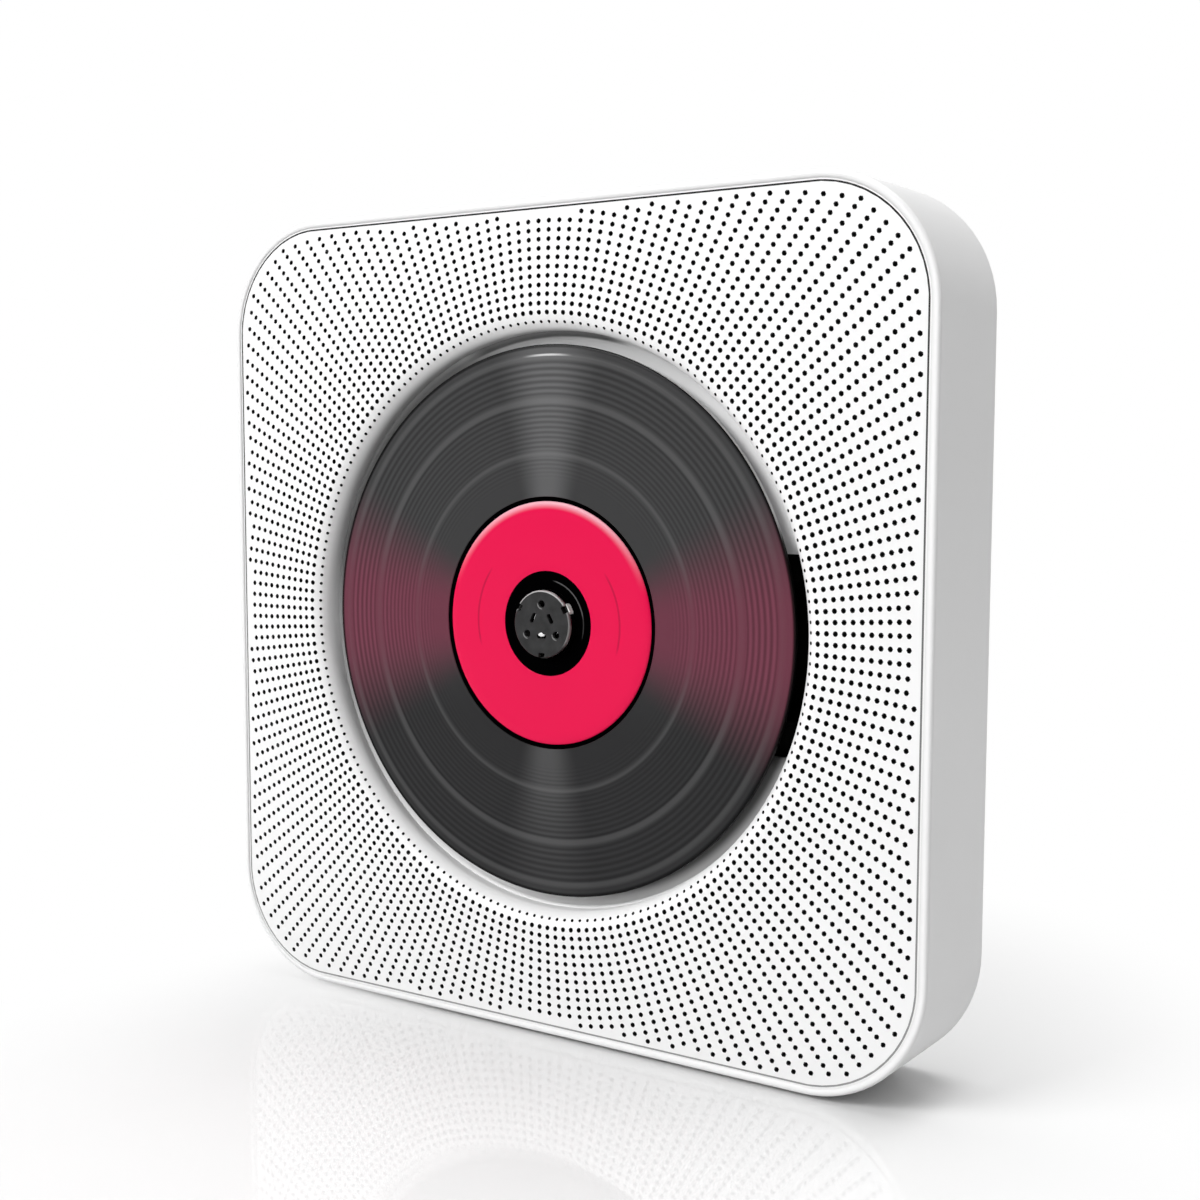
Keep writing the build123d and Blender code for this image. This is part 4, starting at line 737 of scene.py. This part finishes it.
for face in bm.faces:
    middle = face.calc_center_median()
    depth = middle.y - AXIS.y
    r = from_axis(middle)
    if depth > DISC_BACK - TOUCH:
        face.material_index = SILVER_SLOT
    elif depth > label_floor + TOUCH:
        face.material_index = EDGE_SLOT
    elif r < HUB_ZONE_R or LABEL_R < r < MOAT_R:
        face.material_index = HUB_ZONE_SLOT
    elif r < LABEL_R:
        face.material_index = LABEL_SLOT
    else:
        face.material_index = PRINT_SLOT


def radial_ramp(tree, r, stops):
    """A value that changes with the radius, from stops of (radius in millimetres, value)."""
    node = tree.nodes.new("ShaderNodeValToRGB")
    while len(node.color_ramp.elements) < len(stops):
        node.color_ramp.elements.new(0.5)
    for element, (radius, value) in zip(node.color_ramp.elements, stops):
        element.position = radius / DISC_RADIUS_IN_MM
        element.color = (*grey(value), 1.0)
    tree.links.new(math_node(tree, "DIVIDE", r, DISC_R), node.inputs["Fac"])
    return node.outputs["Color"]


def off_circle(tree, r, circle_r):
    """How far a radius lies from a circle's."""
    return math_node(tree, "ABSOLUTE", math_node(tree, "SUBTRACT", r, circle_r))


BAND_NEUTRAL = 0.5
BAND_SHADES = ((0.0, 0.5), (35.8, 0.5), (36.75, 0.95), (37.3, 0.5), (46.8, 0.5), (47.05, 0.35), (47.5, 0.9),
               (48.3, 0.9), (49.1, 0.5), (56.2, 0.5), (56.4, 0.35), (57.0, 0.85), (57.6, 0.85), (58.4, 0.5),
               (59.0, 0.55), (59.4, 0.35))
RING_SHADES = ((31.0, 0.0), (33.0, 0.08), (35.9, 0.16), (36.0, 0.0), (37.3, 0.0), (37.6, 0.18), (46.9, 0.24),
               (47.1, 0.0), (49.1, 0.0), (49.4, 0.26), (56.2, 0.3), (56.4, 0.0))
LOWER_PRINT_SHADED, UPPER_PRINT_LIT = (0.022, 0.022, 0.023), (0.042, 0.042, 0.043)
LOWER_SHEEN, UPPER_SHEEN = (0.072, 0.072, 0.073), (0.108, 0.108, 0.110)
MAROON = (0.140, 0.036, 0.058)
RIM_SHADE_LEAN = 0.004


def record_print_and_painted_light():
    """Dark grey print of rings and bands, with painted light over it: maroon reflections left and right, grey
    sheen above and below, a lighter upper half, a glint and shade at the rim.
    """
    material, tree, shader = principled("record_print_and_painted_light", grey(0.04), 0.34, Specular_IOR_Level=0.12)
    x, _, z, r = well_place(tree)
    tilt = math_node(tree, "ARCTAN2", math_node(tree, "ABSOLUTE", z), math_node(tree, "ABSOLUTE", x))
    # Painted light: the print and its sheen are lighter on the upper half than on the lower.
    upper = smooth_range(tree, z, -25 * MM, 5 * MM, 0.0, 1.0)
    lower = math_node(tree, "SUBTRACT", 1.0, upper)
    # Painted reflection: maroon wedges left and right. Painted sheen: grey wedges above and below, fading
    # outwards below.
    maroon = smooth_range(tree, tilt, radians(5), radians(32), 1.0, 0.0)
    sheen = smooth_range(tree, tilt, radians(75), radians(88.5), 0.0, 1.0)
    low_sheen = times(tree, sheen, smooth_range(tree, r, 27 * MM, 56 * MM, 1.0, 0.25))
    sheen_level = plus(tree, times(tree, sheen, upper), times(tree, low_sheen, lower))
    ground = mixed_color(tree, upper, LOWER_PRINT_SHADED, UPPER_PRINT_LIT)
    swept = mixed_color(tree, sheen_level, ground, mixed_color(tree, upper, LOWER_SHEEN, UPPER_SHEEN))
    wedged = mixed_color(tree, maroon, swept, MAROON)
    growth = math_node(tree, "LOGARITHM", math_node(tree, "DIVIDE", r, RING_R), exp(1))
    wave = math_node(tree, "COSINE", math_node(tree, "DIVIDE", growth, RING_STEP / tau))
    rings = math_node(tree, "MULTIPLY_ADD", wave, radial_ramp(tree, r, RING_SHADES), 1.0)
    # Painted highlight: a short glint on the bead near the top of the disc.
    topmost = times(tree, upper, smooth_range(tree, tilt, radians(83), radians(89), 0.0, 1.0))
    on_glint = smooth_range(tree, off_circle(tree, r, GLINT_R), 0.05 * MM, 0.35 * MM, 0.5, 0.0)
    glint = times(tree, on_glint, topmost)
    strength = math_node(tree, "MULTIPLY_ADD", maroon, -0.07, 0.09)
    bands = math_node(tree, "SUBTRACT", radial_ramp(tree, r, BAND_SHADES), BAND_NEUTRAL)
    lit = tree.nodes.new("ShaderNodeVectorMath")
    lit.operation = "ADD"
    # Painted shade: the print darkens at the disc's rim, a little further in on the left.
    leaning_r = math_node(tree, "MULTIPLY_ADD", x, -RIM_SHADE_LEAN, r)
    rim = smooth_range(tree, leaning_r, 59.1 * MM, 59.6 * MM, 1.0, 0.1)
    join(tree,
         (scaled_color(tree, wedged, rings), lit.inputs[0]),
         (plus(tree, times(tree, bands, strength), glint), lit.inputs[1]),
         (scaled_color(tree, lit.outputs[0], rim), shader.inputs["Base Color"]))
    return material


LABEL_PINK = (0.78, 0.006, 0.072)
LABEL_HIGHLIGHT = (0.93, 0.92, 1.0)
LABEL_TURN = radians(10)


def label_print():
    """Pink print with a painted highlight, pale where it rolls over the top edge, and a thin darker ring seen
    left and right.
    """
    material = moulded("label_pink", LABEL_PINK, 0.24, grain=400.0, depth=0.003 * MM, spread=0.02,
                       Specular_IOR_Level=0.12)
    tree, base, pink = color_feed(material)
    x, _, z, r = well_place(tree)
    edge_highlight = smooth_range(tree, r, LABEL_R - 1.9 * MM, LABEL_R - 0.1 * MM, 0.0, 0.45)
    above = smooth_range(tree, math_node(tree, "DIVIDE", z, r), 0.25, 1.0, 0.0, 1.0)
    on_ring = smooth_range(tree, off_circle(tree, r, LABEL_RING_R), 0.1 * MM, 0.35 * MM, 0.3, 0.0)
    sideways = facing(tree, math_node(tree, "ABSOLUTE", x), z, r, LABEL_TURN)
    ring = times(tree, on_ring, smooth_range(tree, sideways, 0.87, 0.94, 0.0, 1.0))
    ringed = mixed_color(tree, ring, pink, grey(0.0))
    tree.links.new(mixed_color(tree, times(tree, edge_highlight, above), ringed, LABEL_HIGHLIGHT), base)
    return material


DEAD_BLACK = (0.0005, 0.0005, 0.0006)


def stacking_ring():
    """Dead black print round the hub, with a painted reflection in grey on the right side of the low stacking
    ring.
    """
    material, tree, shader = principled("hub_zone_black", grey(0.0), 0.5, Specular_IOR_Level=0.0)
    x, _, z, r = well_place(tree)
    ring = smooth_range(tree, off_circle(tree, r, STACKING_R - 0.05 * MM), 0.05 * MM, 0.2 * MM, 1.0, 0.0)
    # Painted reflection: faint grey arcs on the right of the stacking ring.
    right = smooth_range(tree, x, 8.9 * MM, 9.4 * MM, 0.0, 0.035)
    upper_right = smooth_range(tree, plus(tree, x, z), 10.5 * MM, 12.0 * MM, 0.0, 0.10)
    reflection_arc = times(tree, ring, plus(tree, right, upper_right))
    tree.links.new(mixed_color(tree, reflection_arc, DEAD_BLACK, grey(1.0)), shader.inputs["Base Color"])
    return material


def cut_edge():
    """The disc's cut edge, dyed black, with painted light making it pale at the upper right."""
    material, tree, shader = principled("disc_edge_black", grey(0.0), 0.3, Specular_IOR_Level=0.1)
    x, _, z, r = well_place(tree)
    lit_side = smooth_range(tree, facing(tree, x, z, r, radians(62)), 0.72, 0.80, 0.0, 1.0)
    tree.links.new(mixed_color(tree, lit_side, grey(0.003), grey(0.55)), shader.inputs["Base Color"])
    return material


disc_silver = moulded("disc_data_silver", (0.72, 0.72, 0.75), 0.16, grain=60.0, depth=0.002 * MM,
                      Metallic=1.0)
disc_finishes = [record_print_and_painted_light(), label_print(), stacking_ring(), cut_edge(), disc_silver]
weigh_normals(piece(bm, "printed_disc", disc_finishes, "disc", "disc_polycarbonate", "cd_disc", crease=40.0))

# ---- Hub and turntable ------------------------------------------------------------------------------
# The hub is glossy black ABS on a black turntable with a rubber ring. Its satin cap has windows over
# the claw spring, and three black nylon claws click over the edge of the disc's hole.
HUB_R = 7.4 * MM
WINDOW_DROP = 2.15 * MM
CAP_HOLE_AT = 4.4 * MM
CAP_HOLE_R = 0.85 * MM
CRESCENT_R = 1.15 * CAP_HOLE_R
CAP_HOLE_TURNS = (90, 210, 330)
RUB_SCALE = 420.0
RUB_DETAIL = 5.0
HIGHLIGHT_LEVEL = 0.48
hub_black = moulded("hub_black", grey(0.001), 0.16, spread=0.0, Specular_IOR_Level=0.3)
ring_rubber = moulded("ring_rubber", grey(0.02), 0.7)
ground_steel = moulded("ground_steel", (0.62, 0.62, 0.63), 0.18, grain=2500.0, depth=0.002 * MM, Metallic=1.0)


def highlight_tipped():
    """Black nylon as far as the hub's wall, then a painted highlight on the tip."""
    material, tree, shader = principled("claw_with_painted_highlight", grey(0.5), 0.25, Specular_IOR_Level=0.4)
    tip_highlight = smooth_range(tree, well_place(tree)[3], HUB_R - 0.25 * MM, HUB_R - 0.15 * MM, 0.0, 1.0)
    tree.links.new(mixed_color(tree, tip_highlight, grey(0.002), (0.90, 0.90, 0.88)), shader.inputs["Base Color"])
    return material


def cap_with_painted_highlights():
    """Dark satin ABS with cloudy rub marks, and a painted highlight along its upper and right edge and beside
    its three holes.
    """
    material, tree, shader = principled("cap_painted_highlights", grey(0.02), 0.3, Specular_IOR_Level=0.25)
    where = tree.nodes.new("ShaderNodeTexCoord")
    marks = tree.nodes.new("ShaderNodeTexNoise")
    marks.inputs["Scale"].default_value = RUB_SCALE
    marks.inputs["Detail"].default_value = RUB_DETAIL
    tree.links.new(where.outputs["Object"], marks.inputs["Vector"])
    x, _, z, r = well_place(tree)
    edge = smooth_range(tree, r, HUB_R - 0.42 * MM, HUB_R - 0.3 * MM, 0.0, 1.0)
    over = times(tree, edge, smooth_range(tree, z, 2.0 * MM, 3.6 * MM, 0.0, 0.9))
    beside = times(tree, edge, smooth_range(tree, x, 5.2 * MM, 6.6 * MM, 0.0, 0.45))
    painted_highlight = math_node(tree, "MAXIMUM", over, beside)
    for angle in (radians(turn) for turn in CAP_HOLE_TURNS):
        across = math_node(tree, "SUBTRACT", x, CAP_HOLE_AT * cos(angle))
        up = math_node(tree, "SUBTRACT", z, CAP_HOLE_AT * sin(angle))
        off_edge = off_circle(tree, length_of(tree, across, up), CRESCENT_R)
        edge_highlight = smooth_range(tree, off_edge, 0.08 * MM, 0.25 * MM, 0.35, 0.0)
        lower_left = smooth_range(tree, plus(tree, across, up), -0.7 * MM, -1.2 * MM, 0.0, 1.0)
        painted_highlight = math_node(tree, "MAXIMUM", painted_highlight, times(tree, edge_highlight, lower_left))
    cloudy = mixed_color(tree, marks.outputs["Fac"], grey(0.004), (0.045, 0.045, 0.046))
    tree.links.new(mixed_color(tree, painted_highlight, cloudy, grey(HIGHLIGHT_LEVEL)), shader.inputs["Base Color"])
    return material


shaded(hub_black, "turntable")
shaded(cap_with_painted_highlights(), "hub_cap")
# Only this claw carries the painted highlight on its tip.
shaded(highlight_tipped(), "hub_claw_1")
shaded(hub_black, "hub_claw_2", "hub_claw_3")
shaded(ring_rubber, "friction_ring")
shaded(ground_steel, "claw_spring", "spindle_shaft")

# ---- End of the claw spring -------------------------------------------------------------------------
# The bent end of the spring's steel wire is polished. It lies behind the cap's face and shows as a
# bright oval in the lower window: its near-white colour is a painted highlight on the steel.
SPRING_END_HALF = Vector((0.95, 0.3, 0.6)) * MM
SPRING_END_LEFT = 0.15 * MM
SPRING_END_SINK = 0.25 * MM
spring_end_highlight = moulded("spring_end_highlight", grey(0.92), 0.3, grain=2000.0, depth=0.001 * MM, Metallic=0.4)
cap_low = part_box("hub_cap")[0]
spring_end_place = (AXIS.x - SPRING_END_LEFT, cap_low.y + SPRING_END_SINK, AXIS.z - WINDOW_DROP)
bm = bmesh.new()
bmesh.ops.create_uvsphere(bm, u_segments=20, v_segments=10, radius=1.0)
bmesh.ops.scale(bm, verts=bm.verts, vec=SPRING_END_HALF)
bmesh.ops.translate(bm, verts=bm.verts, vec=spring_end_place)
piece(bm, "spring_end", [spring_end_highlight], "turntable", "chrome_rod")

# ---- Mechanism behind the floor ---------------------------------------------------------------------
# A black moulded chassis hangs on four rubber dampers. It carries the spindle motor, two ground
# guide rods and the die cast pickup, which a pinion, a nylon gear and a rack drive outwards.
chassis_black = moulded("chassis_black", grey(0.003), 0.6, spread=0.0, Specular_IOR_Level=0.1)
pickup_black = moulded("pickup_black", grey(0.012), 0.45, depth=0.006 * MM)
zinc_steel = moulded("zinc_plated_steel", (0.55, 0.55, 0.56), 0.34, grain=180.0, depth=0.003 * MM,
                     spread=0.25, Metallic=1.0)
cast_alloy = moulded("die_cast_alloy", (0.36, 0.36, 0.37), 0.5, grain=700.0, depth=0.02 * MM, spread=0.15,
                     Metallic=1.0)
lens_coated = moulded("lens_coated", (0.10, 0.16, 0.30), 0.04, spread=0.0, Coat_Weight=1.0,
                      Coat_Roughness=0.02)
nylon = moulded("nylon_natural", (0.78, 0.77, 0.72), 0.35, grain=500.0)
turned_brass = moulded("turned_brass", (0.70, 0.48, 0.18), 0.25, grain=1500.0, depth=0.003 * MM, Metallic=1.0)
soft_rubber = moulded("damper_rubber", grey(0.015), 0.75)
shaded(chassis_black, "mech_chassis")
shaded(soft_rubber, "dampers")
shaded(zinc_steel, "spindle_motor", "sled_motor", "sled_motor_bracket", "damper_screws", "deck_screws",
       "small_screws")
shaded(ground_steel, "guide_rod_main", "guide_rod_aux", "sled_motor_shaft")
shaded(cast_alloy, "pickup_sled")
shaded(pickup_black, "actuator_cover", "lens_holder")
shaded(lens_coated, "pickup_lens")
shaded(nylon, "sled_rack", "drive_gear")
shaded(turned_brass, "motor_pinion")

# ---- Keys on the top --------------------------------------------------------------------------------
# Five white keys stand out of the top wall. Each rests on the plunger of a push switch on a narrow
# board that is screwed to two posts.
TRACK_STAGGER = 0.35
TRACKS = (("Scale", 120.0), ("Mortar Size", 0.03), ("Brick Width", 0.9), ("Row Height", 0.22))
key_white = moulded("key_white", grey(0.84), 0.36)
switch_black = moulded("switch_black", grey(0.015), 0.5)
shaded(key_white, "mode_key", "previous_key", "play_key", "next_key", "stop_key")
shaded(switch_black, "tact_switches")


def solder_mask():
    """Green solder resist over glass fibre, lighter where the copper runs under it."""
    material, tree, shader = principled("solder_mask", (0.02, 0.12, 0.05), 0.3, Coat_Weight=0.3)
    where = tree.nodes.new("ShaderNodeTexCoord")
    tracks = tree.nodes.new("ShaderNodeTexBrick")
    tracks.offset = TRACK_STAGGER
    for socket, value in TRACKS:
        tracks.inputs[socket].default_value = value
    tracks.inputs["Color1"].default_value = (0.020, 0.130, 0.050, 1.0)
    tracks.inputs["Color2"].default_value = (0.028, 0.165, 0.066, 1.0)
    tracks.inputs["Mortar"].default_value = (0.012, 0.080, 0.032, 1.0)
    join(tree,
         (where.outputs["Object"], tracks.inputs["Vector"]),
         (tracks.outputs["Color"], shader.inputs["Base Color"]))
    return material


board_green = solder_mask()
shaded(board_green, "key_board")

# ---- Sockets and power switch on the left -----------------------------------------------------------
# The sockets stand on the main board and reach through a black plate in the left wall. The slide
# switch's knob is ribbed for the finger.
socket_black = moulded("socket_black", grey(0.010), 0.42)
drawn_steel = moulded("drawn_steel", (0.60, 0.60, 0.61), 0.28, grain=350.0, depth=0.003 * MM, spread=0.1,
                      Metallic=1.0)
component_black = moulded("component_black", (0.016, 0.016, 0.017), 0.5)
shaded(socket_black, "io_plate", "aux_jack", "headphone_jack", "power_switch", "power_knob")
shaded(drawn_steel, "usb_socket", "power_socket")
shaded(board_green, "main_board")
shaded(component_black, "board_parts")

# ---- Speakers ---------------------------------------------------------------------------------------
# Two 36 mm speakers sit on ring seats behind the panel's lower corners: a pressed steel frame, a
# dark pressed paper cone and a ferrite magnet with its steel plate.
FIBRE_SCALE = 700.0
FIBRE_DETAIL = 6.0
FIBRE_CURL = 2.0
FIBRE_DEPTH = 0.08 * MM


def pressed_paper():
    """Dark paper whose fibres show as fine streaks of colour and relief."""
    material, tree, shader = principled("pressed_paper", grey(0.04), 0.85)
    where = tree.nodes.new("ShaderNodeTexCoord")
    fibres = tree.nodes.new("ShaderNodeTexNoise")
    fibres.inputs["Scale"].default_value = FIBRE_SCALE
    fibres.inputs["Detail"].default_value = FIBRE_DETAIL
    fibres.inputs["Distortion"].default_value = FIBRE_CURL
    bump = tree.nodes.new("ShaderNodeBump")
    bump.inputs["Distance"].default_value = FIBRE_DEPTH
    streaks = mixed_color(tree, fibres.outputs["Fac"], grey(0.018), (0.075, 0.073, 0.070))
    join(tree,
         (where.outputs["Object"], fibres.inputs["Vector"]),
         (fibres.outputs["Fac"], bump.inputs["Height"]),
         (bump.outputs["Normal"], shader.inputs["Normal"]),
         (streaks, shader.inputs["Base Color"]))
    return material


ferrite_grey = moulded("ferrite_grey", (0.05, 0.05, 0.052), 0.6, depth=0.02 * MM, spread=0.2)
shaded(zinc_steel, "speaker_frame_left", "speaker_frame_right", "speaker_screws")
shaded(pressed_paper(), "speaker_cone_left", "speaker_cone_right")
shaded(ferrite_grey, "speaker_magnet_left", "speaker_magnet_right")

# ---- Back and feet ----------------------------------------------------------------------------------
# Steel hangers back the two keyholes, four countersunk screws hold the cover, and grey rubber
# bumpers and feet keep the player off the wall or the shelf.
grey_rubber = moulded("grey_rubber", grey(0.42), 0.72, grain=500.0, depth=0.02 * MM)
shaded(zinc_steel, "hanger_left", "hanger_right", "cover_screws")
shaded(grey_rubber, "wall_bumpers", "foot_left", "foot_right")
